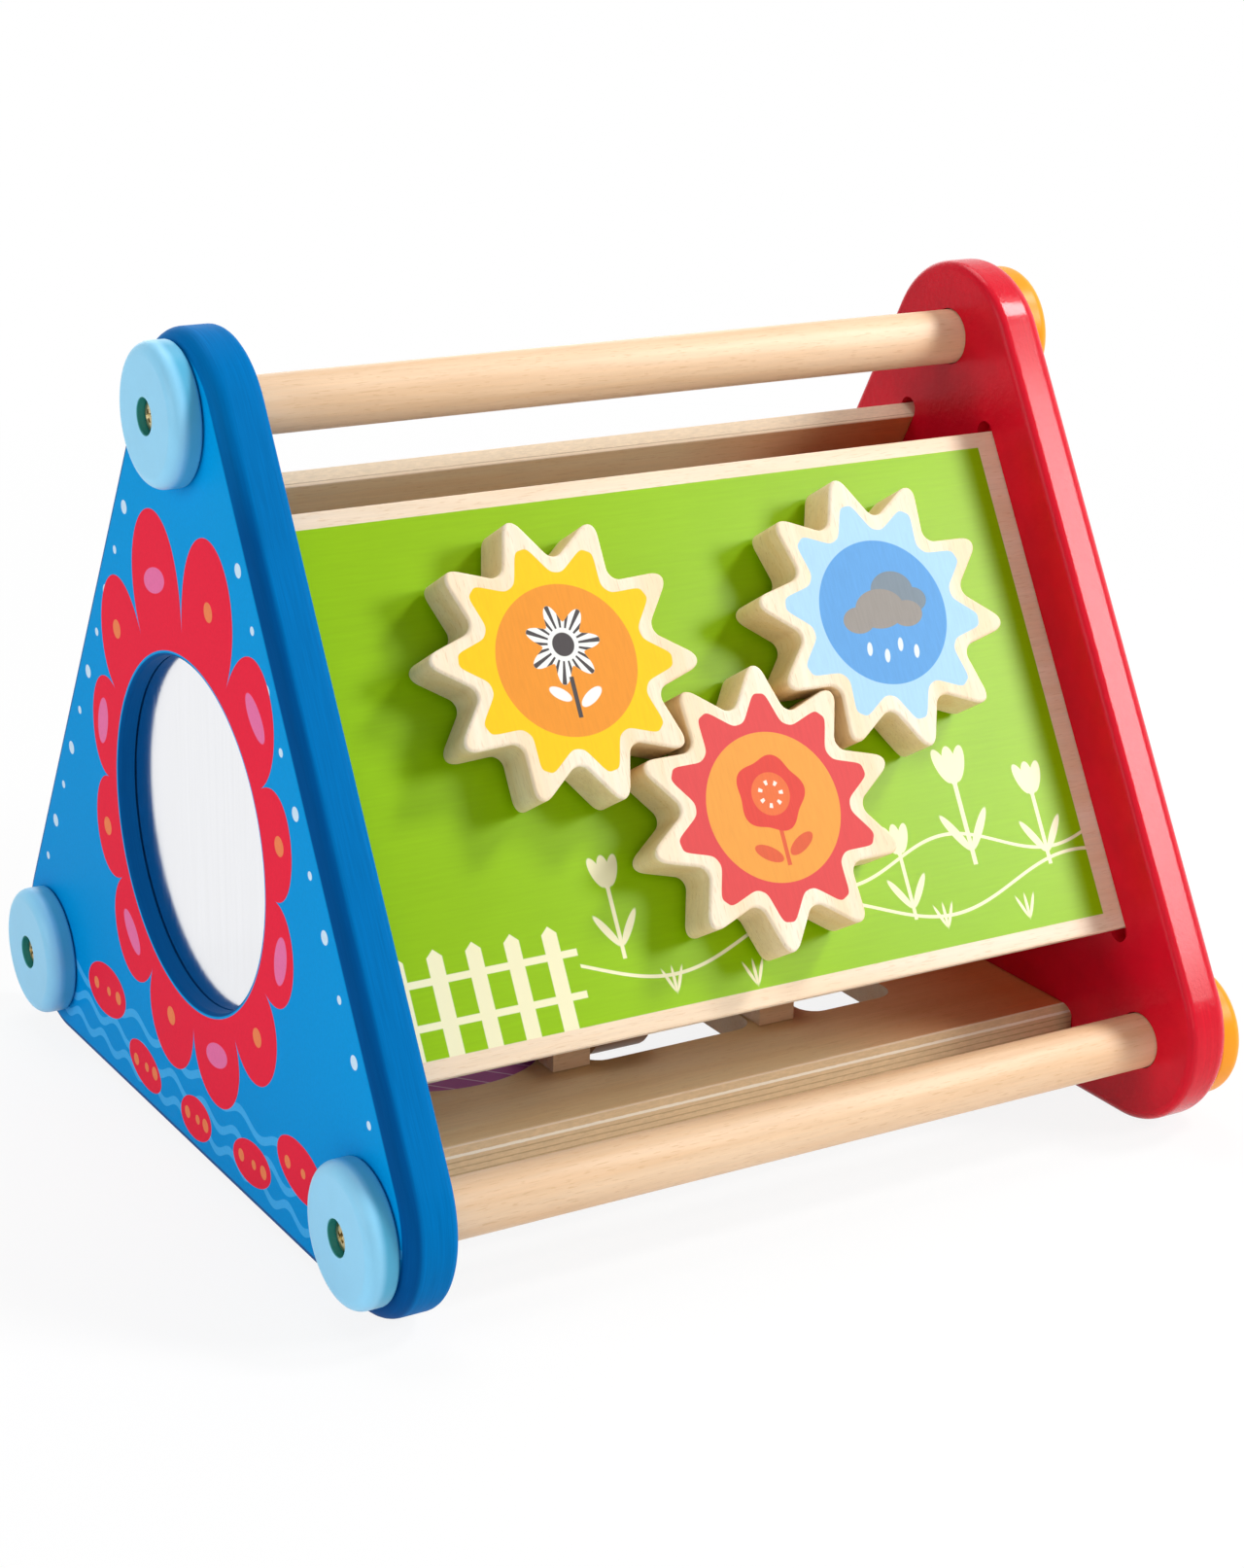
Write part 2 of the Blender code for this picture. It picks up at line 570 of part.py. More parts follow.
def rod_height():
    return floor_top() + CLEARANCE + SUPPORT_WIDTH / 2


def support_mesh():
    # Flat foot, round top about the rod; local Z = 0 is one end and the rod's centre is the origin.
    half = SUPPORT_WIDTH / 2
    outline = [(-half, -half), (half, -half)] + arc((0, 0), half, 0, 180, SUPPORT_STEPS)
    bm = extruded(outline, SUPPORT_THICKNESS)
    bmesh.ops.remove_doubles(bm, verts=bm.verts, dist=1e-7)
    return mesh_of(bm, "rod_support")


def make_roller(floor, looks):
    rod = ROD_DIAMETER / 2
    y, z = ROD_Y, rod_height()
    left, right = windows()[0]
    starts = {"left": left - SUPPORT_SETBACK - SUPPORT_THICKNESS, "right": right + SUPPORT_SETBACK}
    ends = {"left": starts["left"] - CLEARANCE, "right": starts["right"] + SUPPORT_THICKNESS + CLEARANCE}
    bore = [(0, -SUPPORT_THICKNESS), (rod + CLEARANCE, -SUPPORT_THICKNESS),
            (rod + CLEARANCE, 2 * SUPPORT_THICKNESS), (0, 2 * SUPPORT_THICKNESS)]
    bore = mesh_of(turned(bore, SHAFT_STEPS), "support_bore")
    pilot = SMALL_SHANK_DIAMETER / 2 + CLEARANCE
    screw_under = floor_top() - FLOOR_THICKNESS - CLEARANCE
    screw = small_screw_mesh("support_screw", SUPPORT_SHANK_LENGTH)
    pilot_end = SUPPORT_SHANK_LENGTH + CLEARANCE
    hole = [(0, -FLOOR_THICKNESS), (pilot, -FLOOR_THICKNESS), (pilot, pilot_end), (0, pilot_end)]
    hole = mesh_of(turned(hole, SMALL_SCREW_STEPS), "support_pilot")
    cap = rod_cap_mesh()
    for which, start in starts.items():
        support = place(f"{which}_rod_support", support_mesh(), along_x(start, y, z), looks["wood"])
        cut(support, bore, along_x(start, y, z))
        foot = Matrix.Translation((start + SUPPORT_THICKNESS / 2, y, CENTRE_HEIGHT + screw_under))
        cut(support, hole, foot)
        cut(floor, hole, foot)
        place(f"{which}_support_screw", screw, foot @ Matrix.Rotation(math.pi, 4, "X"), looks["steel"])
        outward = 1 if which == "right" else -1
        place(f"{which}_rod_cap", cap, along_x(ends[which], y, z, outward), looks["dark_red"])
    tip = ROD_CAP_BORE_DEPTH - CLEARANCE
    low, high = ends["left"] - tip, ends["right"] + tip
    profile = [(0, low), (rod - CLEARANCE, low), (rod, low + CLEARANCE), (rod, high - CLEARANCE),
               (rod - CLEARANCE, high), (0, high)]
    place("roller_rod", mesh_of(turned(profile, SHAFT_STEPS), "roller_rod"), along_x(0, y, z), looks["wood"])
    bush_outer = rod + PLAY + BUSH_WALL
    half = ROLLER_LENGTH / 2
    middle = left - SUPPORT_SETBACK + CLEARANCE + BUSH_OVERHANG + half
    bush = ring_mesh("roller_bush", rod + PLAY, bush_outer, -half - BUSH_OVERHANG, half + BUSH_OVERHANG,
                     CLEARANCE, SHAFT_STEPS)
    place("roller_bush", bush, along_x(middle, y, z), looks["board"])
    outer = ROLLER_DIAMETER / 2
    profile = [(bush_outer + PLAY, -half), (outer - ROLLER_EDGE_ROUND, -half)]
    profile += [(outer, -half + ROLLER_EDGE_ROUND), (outer, half - ROLLER_EDGE_ROUND), (outer - ROLLER_EDGE_ROUND, half)]
    profile += [(bush_outer + PLAY, half)]
    roller = mesh_of(turned(profile, CAP_STEPS, closed=True), "roller")
    place("roller", roller, along_x(middle, y, z), looks["brown_wood"])


def rod_cap_mesh():
    outer, bore = ROD_CAP_DIAMETER / 2, ROD_DIAMETER / 2 + CLEARANCE
    profile = [(0, ROD_CAP_BORE_DEPTH), (bore, ROD_CAP_BORE_DEPTH), (bore, 0), (outer, 0)]
    profile += arc((outer - ROD_CAP_ROUND, ROD_CAP_THICKNESS - ROD_CAP_ROUND), ROD_CAP_ROUND, 0, 90,
                   NARROW_ROUND_STEPS) + [(0, ROD_CAP_THICKNESS)]
    return mesh_of(turned(profile, DOWEL_STEPS), "rod_cap")


def make_looks():
    return {
        "blue": material("blue_paint", BLUE, 0.35),
        "light_blue": material("light_blue_paint", LIGHT_BLUE, 0.35),
        "red": material("red_paint", RED, 0.25),
        "orange": material("orange_paint", ORANGE, 0.35),
        "dark_red": material("dark_red_paint", DARK_RED, 0.35),
        "wood": material("beech", WOOD, 0.5),
        "ply": material("plywood", PLY, 0.55),
        "brown_wood": material("brown_wood", BROWN_WOOD, 0.5),
        "green": material("green_print", GREEN, 0.45),
        "yellow_gear": material("yellow_print", YELLOW, 0.45),
        "blue_gear": material("blue_print", GEAR_BLUE, 0.45),
        "red_gear": material("red_print", GEAR_RED, 0.45),
        "steel": material("zinc_steel", STEEL, 0.35, 1.0),
        "silver": material("mirror", SILVER, 0.05, 1.0),
        "board": material("hardboard", GREY_BOARD, 0.7),
    }


clear_scene()
looks = make_looks()
make_dowels(looks["wood"])
make_caps_and_screws(looks)
make_end_panels(looks)
floor = make_sides(looks)
make_gears(looks)
make_roller(floor, looks)
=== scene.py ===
import json
import math

import bmesh
import bpy
from mathutils import Matrix, Vector


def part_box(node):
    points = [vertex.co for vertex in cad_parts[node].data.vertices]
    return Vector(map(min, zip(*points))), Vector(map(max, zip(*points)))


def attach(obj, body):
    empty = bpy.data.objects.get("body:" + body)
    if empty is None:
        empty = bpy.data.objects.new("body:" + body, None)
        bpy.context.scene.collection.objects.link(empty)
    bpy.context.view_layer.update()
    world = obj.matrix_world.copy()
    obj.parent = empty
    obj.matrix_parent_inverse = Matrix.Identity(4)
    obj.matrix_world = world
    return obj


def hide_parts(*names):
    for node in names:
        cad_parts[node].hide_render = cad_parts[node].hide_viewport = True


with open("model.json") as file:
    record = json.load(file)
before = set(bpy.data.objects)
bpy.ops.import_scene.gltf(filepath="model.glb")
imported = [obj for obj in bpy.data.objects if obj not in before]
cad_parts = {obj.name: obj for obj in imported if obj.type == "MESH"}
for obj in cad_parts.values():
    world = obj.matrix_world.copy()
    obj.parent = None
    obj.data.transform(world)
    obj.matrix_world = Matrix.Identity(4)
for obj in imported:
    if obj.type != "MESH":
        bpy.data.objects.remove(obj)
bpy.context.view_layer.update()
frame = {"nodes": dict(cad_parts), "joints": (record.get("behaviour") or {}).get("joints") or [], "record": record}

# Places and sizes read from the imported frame, in metres


def middle(node):
    low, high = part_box(node)
    return (low + high) / 2


def extent(node, axis):
    low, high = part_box(node)
    return high[axis] - low[axis]


cornerRadius = 0.0275                                        # of the end panels' rounded corners
innerFace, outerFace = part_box("red_end_panel")[0].x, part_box("red_end_panel")[1].x
centreHeight = (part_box("red_end_panel")[1].z + cornerRadius) / 3
dowelNodes = {"top": "handle_dowel", "front": "front_dowel", "rear": "rear_dowel"}
dowelPlaces = {where: middle(node) for where, node in dowelNodes.items()}
dowelRadius = extent("handle_dowel", 2) / 2
inradius = centreHeight - dowelPlaces["front"].z             # from the middle to a plane of two dowels
gearPlaces = {joint["name"].split("_")[0]: Vector(joint["pos_m"]) for joint in frame["joints"]
              if joint["name"].endswith("gear_turn")}
bodyOf = {node: body for body, names in frame["record"]["behaviour"]["bodies"].items()
          for node in names}
# Each side's outward direction from +Y to +Z, how far outside the dowels' plane its inner face lies,
# its thickness and width, its plies' colour, the glue lines' depths, and how strongly red light bounced
# from the red end is painted onto the inner face, which also turns on the yellower inside tint
sides = {"gear": {"angle": 150, "inner": 0.0012, "thickness": 0.006, "width": 0.1400, "core": "f6e2c6",
                  "glueAt": (0.0011,), "paintedRedBounce": 0.0},
         "rear": {"angle": 30, "inner": 0.0002, "thickness": 0.006, "width": 0.1414, "core": "fbe6c8",
                  "glueAt": (0.0011,), "paintedRedBounce": 1.0},
         "floor": {"angle": 270, "inner": 0.0012, "thickness": 0.009, "width": 0.1350, "core": "e8c89c",
                   "glueAt": (0.0046, 0.0063, 0.0080), "paintedRedBounce": 1.0}}


def sideAxes(side):
    # Along the box, up or down the slope, and outward
    turn = math.radians(sides[side]["angle"])
    outward = Vector((0, math.cos(turn), math.sin(turn)))
    along = Vector((1, 0, 0))
    return along, outward.cross(along), outward


def sideCentre(side):
    return Vector((0, 0, centreHeight)) + sideAxes(side)[2] * inradius


def colour(code):
    # The linear values of a colour as it looks on a screen, such as "ff8800"
    parts = [int(code[i:i + 2], 16) / 255 for i in (0, 2, 4)]
    return tuple(p / 12.92 if p <= 0.04045 else ((p + 0.055) / 1.055) ** 2.4 for p in parts) + (1.0,)


# Shader maths: arithmetic on a Wire adds the Math nodes that it needs


class Wire:
    def __init__(self, tree, socket):
        self.tree = tree
        self.socket = socket

    def node(self, kind, settings, values, output=0):
        made = self.tree.nodes.new(kind)
        for key, value in settings.items():
            setattr(made, key, value)
        for key, value in values.items():
            if isinstance(value, Wire):
                self.tree.links.new(value.socket, made.inputs[key])
            else:
                made.inputs[key].default_value = value
        return Wire(self.tree, made.outputs[output])

    def maths(self, operation, *others):
        return self.node("ShaderNodeMath", {"operation": operation}, dict(enumerate((self,) + others)))

    def __add__(self, other):
        return self.maths("ADD", other)

    def __sub__(self, other):
        return self.maths("SUBTRACT", other)

    def __rsub__(self, other):
        return self.node("ShaderNodeMath", {"operation": "SUBTRACT"}, {0: other, 1: self})

    def __mul__(self, other):
        return self.maths("MULTIPLY", other)

    def __truediv__(self, other):
        return self.maths("DIVIDE", other)

    def __rtruediv__(self, other):
        return self.node("ShaderNodeMath", {"operation": "DIVIDE"}, {0: other, 1: self})

    def __abs__(self):
        return self.maths("ABSOLUTE")

    __radd__ = __add__
    __rmul__ = __mul__


def vector(operation, first, second, output=0):
    wire = first if isinstance(first, Wire) else second
    return wire.node("ShaderNodeVectorMath", {"operation": operation}, {0: first, 1: second}, output)


def joined(x, y, z):
    return x.node("ShaderNodeCombineXYZ", {}, {0: x, 1: y, 2: z})


def below(value, limit, soft=0.00012):
    # 1 under the limit and 0 over it, with an edge as soft as ink on wood
    return value.node("ShaderNodeMapRange", {"interpolation_type": "SMOOTHSTEP"},
                      {"Value": value, "From Min": limit - soft, "From Max": limit + soft,
                       "To Min": 1.0, "To Max": 0.0})


def above(value, limit, soft=0.00012):
    return 1 - below(value, limit, soft)


def spread(value, low, high, start=0.0, end=1.0):
    return value.node("ShaderNodeMapRange", {}, {"Value": value, "From Min": low, "From Max": high,
                                                 "To Min": start, "To Max": end})


def either(first, *others):
    for other in others:
        first = first.maths("MAXIMUM", other)
    return first


def mix(mask, under, over):
    return mask.node("ShaderNodeMix", {"data_type": "RGBA"}, {0: mask, 6: under, 7: over}, 2)


def shade(tint, factor):
    # Makes a colour lighter or darker by a factor that varies round 1
    tint = tint if isinstance(tint, Wire) else tint[:3]
    return vector("MULTIPLY", tint, joined(factor, factor, factor))


def noise(place, scale, detail=2.0, roughness=0.5, distortion=0.0):
    lie = vector("MULTIPLY", place, scale)
    return place.node("ShaderNodeTexNoise", {}, {"Vector": lie, "Scale": 1.0, "Detail": detail,
                                                 "Roughness": roughness, "Distortion": distortion})


def distance(x, y):
    return (x * x + y * y).maths("SQRT")


def direction(x, y):
    return y.maths("ARCTAN2", x)


def oval(x, y, centre, width, height, lean=0.0):
    # How far out a point lies from an oval's centre, 1 at its edge
    turn = math.radians(lean)
    dx, dy = x - centre[0], y - centre[1]
    return distance((dx * math.cos(turn) + dy * math.sin(turn)) / (width / 2),
                    (dy * math.cos(turn) - dx * math.sin(turn)) / (height / 2))


def filled(x, y, centre, width, height=None, lean=0.0):
    height = height or width
    return below(oval(x, y, centre, width, height, lean), 1.0, 0.0002 / min(width, height))


class Finish:
    # A material with its Principled shader, and Object coordinates to work from
    def __init__(self, name, roughness, specular=0.5, coatRoughness=0.1, metallic=0.0):
        self.material = bpy.data.materials.new(name)
        self.material.use_nodes = True
        self.tree = self.material.node_tree
        self.shader = self.tree.nodes["Principled BSDF"]
        fixed = {"Roughness": roughness, "Specular IOR Level": specular,
                 "Coat Roughness": coatRoughness, "Metallic": metallic}
        for socket, value in fixed.items():
            self.shader.inputs[socket].default_value = value
        coordinates = self.tree.nodes.new("ShaderNodeTexCoord")
        self.place = Wire(self.tree, coordinates.outputs["Object"])
        split = self.tree.nodes.new("ShaderNodeSeparateXYZ")
        self.tree.links.new(self.place.socket, split.inputs[0])
        self.xyz = [Wire(self.tree, output) for output in split.outputs]

    def link(self, socket, wire):
        self.tree.links.new(wire.socket, self.shader.inputs[socket])

    def bump(self, height, depth, strength=1.0):
        self.link("Normal", height.node("ShaderNodeBump", {}, {"Height": height, "Distance": depth,
                                                               "Strength": strength}))

    def onSide(self, side, origin=None):
        # Coordinates along, up the slope and outward from a point on one side
        origin = origin or sideCentre(side)
        return [vector("DOT_PRODUCT", self.place, axis, "Value") - axis.dot(origin)
                for axis in sideAxes(side)]


# Wood

beechLook = {"pale": "f5d6b4", "deep": "e6bd92", "fleck": "cc9e6c", "roughness": 0.42}
gearLook = {"pale": "fff1dc", "deep": "f6deba", "fleck": "d2a878", "roughness": 0.5,
            "side": (0.86, 0.78, 0.62)}      # the sides are darker and yellower than the faces
plyLook = {"pale": "f8e3ca", "deep": "f1d4b2", "fleck": "d8b082", "roughness": 0.5,
           "bright": "fff2dc", "brightAt": 0.0030, "brightWidth": 0.0008, "seamWander": 0.0004,
           "glue": "a07848", "glueLine": 0.00016, "glueStrength": 0.5,
           "inside": (1.0, 0.96, 0.74),          # the inner faces are tinted yellower
           # painted red bounce light: near the red end the inner faces' veneer is multiplied by this red
           "paintedRedBounce": (0.86, 0.36, 0.22), "paintedRedBounceFrom": 0.030, "paintedRedBounceTo": 0.100}
# painted shade: a darker copy of the beech for the roller, which sits in shade inside the box
shadedWoodLook = {"pale": "a47a4c", "deep": "86603a", "fleck": "5e4022", "roughness": 0.5}
grainScale = {"bands": (7, 110, 110), "streaks": (45, 1100, 1100), "flecks": (260, 2600, 2600)}


faceDepth, faceSoft = 0.0001, 0.00005      # what lies this near a flat face has its finish


def grain(along, across, through, look):
    # Broad pale bands, fine streaks and short dark flecks, all drawn out along the grain
    lie = joined(along, across, through)
    bands = noise(lie, grainScale["bands"], 3.0, 0.55, 0.5)
    streaks = noise(lie, grainScale["streaks"], 3.0, 0.65)
    flecks = noise(lie, grainScale["flecks"], 1.0, 0.5)
    tint = mix(spread(bands, 0.32, 0.68), colour(look["pale"]), colour(look["deep"]))
    tint = shade(tint, spread(streaks, 0.2, 0.8, 0.92, 1.05))
    return mix(spread(flecks, 0.60, 0.72, 0.0, 0.38), tint, colour(look["fleck"])), streaks


def woodFinish(name, look=beechLook):
    finish = Finish(name, look["roughness"], 0.35)
    tint, streaks = grain(*finish.xyz, look)
    finish.link("Base Color", tint)
    finish.bump(streaks, 0.00005, 0.6)
    return finish.material


def plyTint(finish, side):
    # Veneer on the faces; on the edges a bright ply among browner ones, with dark glue lines
    look, board = plyLook, sides[side]
    along, up, outward = finish.onSide(side)
    veneer, streaks = grain(along, up, outward, look)
    depth = outward - board["inner"]
    grit = noise(joined(along, up, outward), (420, 420, 1500), 3.0, 0.7)
    seam = depth + (grit - 0.5) * look["seamWander"]
    edge = shade(colour(board["core"]), spread(grit, 0.25, 0.75, 0.86, 1.06))
    if side == "floor":
        bright = below(abs(seam - look["brightAt"]), look["brightWidth"] / 2)
        edge = mix(bright, edge, colour(look["bright"]))
    for level in board["glueAt"]:
        glue = below(abs(seam - level), look["glueLine"], 0.00012) * look["glueStrength"]
        edge = mix(glue, edge, colour(look["glue"]))
    # Near the red end the inner faces are painted redder, as painted red light bounced from the red end panel
    inner = below(depth, faceDepth, faceSoft) * board["paintedRedBounce"]
    veneer = mix(inner, veneer, vector("MULTIPLY", veneer, look["inside"]))
    paintedRedBounce = spread(along, look["paintedRedBounceFrom"], look["paintedRedBounceTo"]) * inner
    veneer = mix(paintedRedBounce, veneer, vector("MULTIPLY", veneer, look["paintedRedBounce"]))
    onFace = below(abs(up), board["width"] / 2 - 0.00005, 0.00003)
    return mix(onFace, edge, veneer), along, up, depth, streaks


def plyFinish(name, side):
    finish = Finish(name, plyLook["roughness"], 0.3)
    tint, along, up, depth, streaks = plyTint(finish, side)
    finish.link("Base Color", tint)
    finish.bump(streaks, 0.00004, 0.5)
    return finish.material


# The floor's inner face carries a purple leaf with pale veins

floorPrint = {"leaf": "b45aae", "vein": "e6c4e6", "centre": (-0.0600, -0.0210), "length": 0.052,
              "width": 0.035, "lean": -4, "midrib": 0.0006, "rib": 0.0003, "ribGap": 0.0045,
              "ribSlant": 0.9}


def floorFinish():
    look = floorPrint
    finish = Finish("floor_plywood", plyLook["roughness"], 0.3)
    tint, along, up, depth, streaks = plyTint(finish, "floor")
    x, y = along, 0 - up
    leaf = filled(x, y, look["centre"], look["length"], look["width"], look["lean"])
    slant = (x + (y - look["centre"][1]) * look["ribSlant"]).maths("PINGPONG", look["ribGap"])
    veins = either(below(abs(y - look["centre"][1]), look["midrib"]), below(slant, look["rib"]))
    ink = mix(veins, colour(look["leaf"]), colour(look["vein"]))
    finish.link("Base Color", mix(leaf * below(depth, faceDepth, faceSoft), tint, ink))
    finish.bump(streaks, 0.00004, 0.5)
    return finish.material


# The gear side: a green field inside a wood border, with a fence, hills and tulips in a pale line

meadow = {"halfLength": 0.1025, "low": -0.0653, "high": 0.0657, "green": "93c200", "line": "f6f0c6",
          "lineHalf": 0.00045, "roughness": 0.3,
          "fence": {"left": -0.1025, "right": -0.0545, "top": -0.0395, "gap": 0.0104, "half": 0.0021,
                    "slant": 0.9, "rails": (-0.0470, -0.0575), "rail": 0.0009},
          "hills": [(-0.0545, -0.0520, 0.0052, 74, 0.6), (0.0200, -0.0405, 0.0042, 96, 2.2)],
          "tulips": [(0.0440, -0.0390, 0.0076), (0.0665, -0.0235, 0.0096), (0.0900, -0.0300, 0.0084),
                     (-0.0420, -0.0330, 0.0078)],
          "tufts": [(-0.0300, -0.0585), (0.0530, -0.0570), (0.0790, -0.0590), (-0.0070, -0.0610)],
          "blade": (0.0009, 0.0066, -24), "bladeGap": 0.0016}


# In shares of a tulip's size: the stem's half width and length, each oval's centre and size, its lean
tulipShape = {"stem": (0.07, 2.3), "heart": (0.5, 0.46, 1.1),
              "pairs": {"petals": (0.28, 0.52, 0.4, 1.05, -20), "leaves": (0.4, -1.35, 0.26, 1.3, -34)}}


def tulip(x, y, foot, size):
    # A closed flower on a stem with a pair of leaves
    width, length = tulipShape["stem"]
    stem = below(abs(x - foot[0]), size * width) * below(y, foot[1]) * above(y, foot[1] - size * length)
    lift, width, height = tulipShape["heart"]
    shapes = [stem, filled(x, y, (foot[0], foot[1] + size * lift), size * width, size * height)]
    for way in (-1, 1):
        for out, lift, width, height, lean in tulipShape["pairs"].values():
            spot = (foot[0] + size * out * way, foot[1] + size * lift)
            shapes.append(filled(x, y, spot, size * width, size * height, lean * way))
    return shapes


def meadowFinish():
    look = meadow
    finish = Finish("green_meadow_print", look["roughness"], 0.14)
    wood, along, up, depth, streaks = plyTint(finish, "gear")
    printed = (below(abs(along), look["halfLength"]) * above(up, look["low"]) * below(up, look["high"])
               * above(depth, sides["gear"]["thickness"] - faceDepth, faceSoft))
    lie = joined(along, up, depth)
    mottle = noise(lie, (60, 1100, 1), 3.0, 0.65)
    clouds = noise(lie, (14, 14, 1), 2.0)
    uneven = spread(mottle, 0.2, 0.8, 0.94, 1.05) * spread(clouds, 0.3, 0.7, 0.97, 1.03)
    green = shade(colour(look["green"]), uneven)
    fence = look["fence"]
    off = (along - fence["left"]).maths("PINGPONG", fence["gap"] / 2)
    posts = below(off, fence["half"]) * below(up + off * fence["slant"], fence["top"])
    rails = [below(abs(up - level), fence["rail"]) for level in fence["rails"]]
    drawn = [either(posts, *rails) * below(along, fence["right"])]
    for left, level, swing, waves, shift in look["hills"]:
        crest = (along * waves + shift).maths("SINE") * swing + level
        drawn.append(below(abs(up - crest), look["lineHalf"]) * above(along, left))
    for x, y, size in look["tulips"]:
        drawn += tulip(along, up, (x, y), size)
    width, height, lean = look["blade"]
    for x, y in look["tufts"]:
        drawn += [filled(along, up, (x + look["bladeGap"] * way, y), width, height, lean * way)
                  for way in (-1, 0, 1)]
    green = mix(either(*drawn), green, colour(look["line"]))
    finish.link("Base Color", mix(printed, wood, green))
    finish.bump(streaks + mottle * 0.4, 0.00004, 0.5)
    return finish.material


# Printed gears: a rounded star and a disc, with a simple motif in it

gearShape = {"toothCorner": 0.0398, "valleyCorner": 0.025, "toothRound": 0.003, "valleyRound": 0.0032,
             "faceRound": 0.0009, "teeth": 10, "thickness": 0.0135, "bore": 0.0053, "boreDepth": 0.009}
starShape = {"tip": 0.0326, "valley": 0.0206, "round": 0.0291, "valleyRound": 0.0222, "disc": 0.0192}


def starEdge(angle, tooth):
    # Radius of the star's straight flanks at each direction
    half = math.pi / gearShape["teeth"]
    offset = (angle - math.radians(tooth) + 20 * math.pi).maths("PINGPONG", half)
    tip, valley = starShape["tip"], starShape["valley"]
    flank = offset.maths("SINE") * tip + (half - offset).maths("SINE") * valley
    edge = (tip * valley * math.sin(half) / flank).maths("SMOOTH_MIN", starShape["round"], 0.0026)
    return edge.maths("SMOOTH_MAX", starShape["valleyRound"], 0.0022)


def stroke(x, y, middleX, halfWidth, low, high):
    return below(abs(x - middleX), halfWidth) * above(y, low) * below(y, high)


def daisy(x, y):
    # A white flower with a dark eye and striped petals
    reach, turn = distance(x, y - 0.0040), direction(x, y - 0.0040)
    petals = below(reach, (turn * 7).maths("COSINE") * 0.0022 + 0.0080)
    stripes = petals * above((turn * 21).maths("COSINE"), 0.30, 0.12) * above(reach, 0.0042)
    leaves = either(filled(x, y, (0.0042, -0.0098), 0.0072, 0.0030, 32),
                    filled(x, y, (-0.0040, -0.0080), 0.0064, 0.0028, -34))
    dark = either(stripes, below(reach, 0.0030), stroke(x, y, 0, 0.0006, -0.0145, -0.0042))
    return [(either(petals, leaves), "fdfdf8"), (dark, "4b4546")]


def cloud(x, y):
    # A grey cloud with a lighter one behind it, and drops below
    back = either(filled(x, y, (0.0042, 0.0052), 0.0130, 0.0105),
                  filled(x, y, (0.0100, 0.0022), 0.0080, 0.0065))
    front = either(filled(x, y, (-0.0008, 0.0010), 0.0150, 0.0105),
                   filled(x, y, (-0.0080, -0.0012), 0.0095, 0.0070),
                   filled(x, y, (0.0070, -0.0012), 0.0095, 0.0070))
    drops = [filled(x, y, (spot, -0.0090 - lower), 0.0016, 0.0036, -12)
             for spot, lower in ((-0.0070, 0.0), (-0.0022, 0.0024), (0.0026, 0.0), (0.0070, 0.0024))]
    return [(back, "82909b"), (front, "9d968f"), (either(*drops), "eaf3f8")]


def poppy(x, y):
    # A red flower with a paler heart and white dots, over two leaves
    reach, turn = distance(x, y - 0.0034), direction(x, y - 0.0034)
    bloom = below(reach, (turn * 5).maths("COSINE") * 0.0007 + 0.0094)
    dots = above(reach, 0.0024) * below(reach, 0.0036) * above((turn * 7).maths("COSINE"), 0.5, 0.15)
    leaves = either(stroke(x, y, 0.0004, 0.0006, -0.0150, -0.0050),
                    filled(x, y, (0.0052, -0.0102), 0.0085, 0.0036, 30),
                    filled(x, y, (-0.0046, -0.0112), 0.0085, 0.0036, -30))
    return [(leaves, "e5623c"), (bloom, "e5483c"), (below(reach, 0.0055), "f0763f"), (dots, "fdf3e6")]


gearPrints = {
    "yellow": {"star": "ffcf00", "disc": "f59a2c", "tooth": 316.5, "motif": daisy},
    "blue": {"star": "b2dcfa", "disc": "63a5e2", "tooth": 240.5, "motif": cloud},
    "red": {"star": "e44c4c", "disc": "f6a546", "tooth": 154.5, "motif": poppy},
}


def gearFinish(name):
    look = gearPrints[name]
    finish = Finish(f"{name}_gear_print", gearLook["roughness"], 0.18)
    along, up, outward = finish.onSide("gear", gearPlaces[name])
    wood, streaks = grain(up, along, outward, gearLook)
    sideTone = vector("MULTIPLY", wood, gearLook["side"])
    wood = mix(below(outward, gearShape["thickness"] - 0.0008, 0.0003), wood, sideTone)
    reach, turn = distance(along, up), direction(along, up)
    weave = noise(joined(along, up, outward), (1500, 150, 150), 2.0, 0.6)
    ink = spread(weave, 0.2, 0.8, 0.86, 0.96)
    printed = mix(below(reach, starEdge(turn, look["tooth"])), wood, shade(colour(look["star"]), ink))
    printed = mix(below(reach, starShape["disc"]), printed, shade(colour(look["disc"]), ink))
    for mask, code in look["motif"](along, up):
        printed = mix(mask, printed, shade(colour(code), ink))
    onFace = above(outward, gearShape["thickness"] - faceDepth, faceSoft)
    finish.link("Base Color", mix(onFace, wood, printed))
    finish.bump(streaks, 0.00005, 0.5)
    return finish.material


# Painted end panels

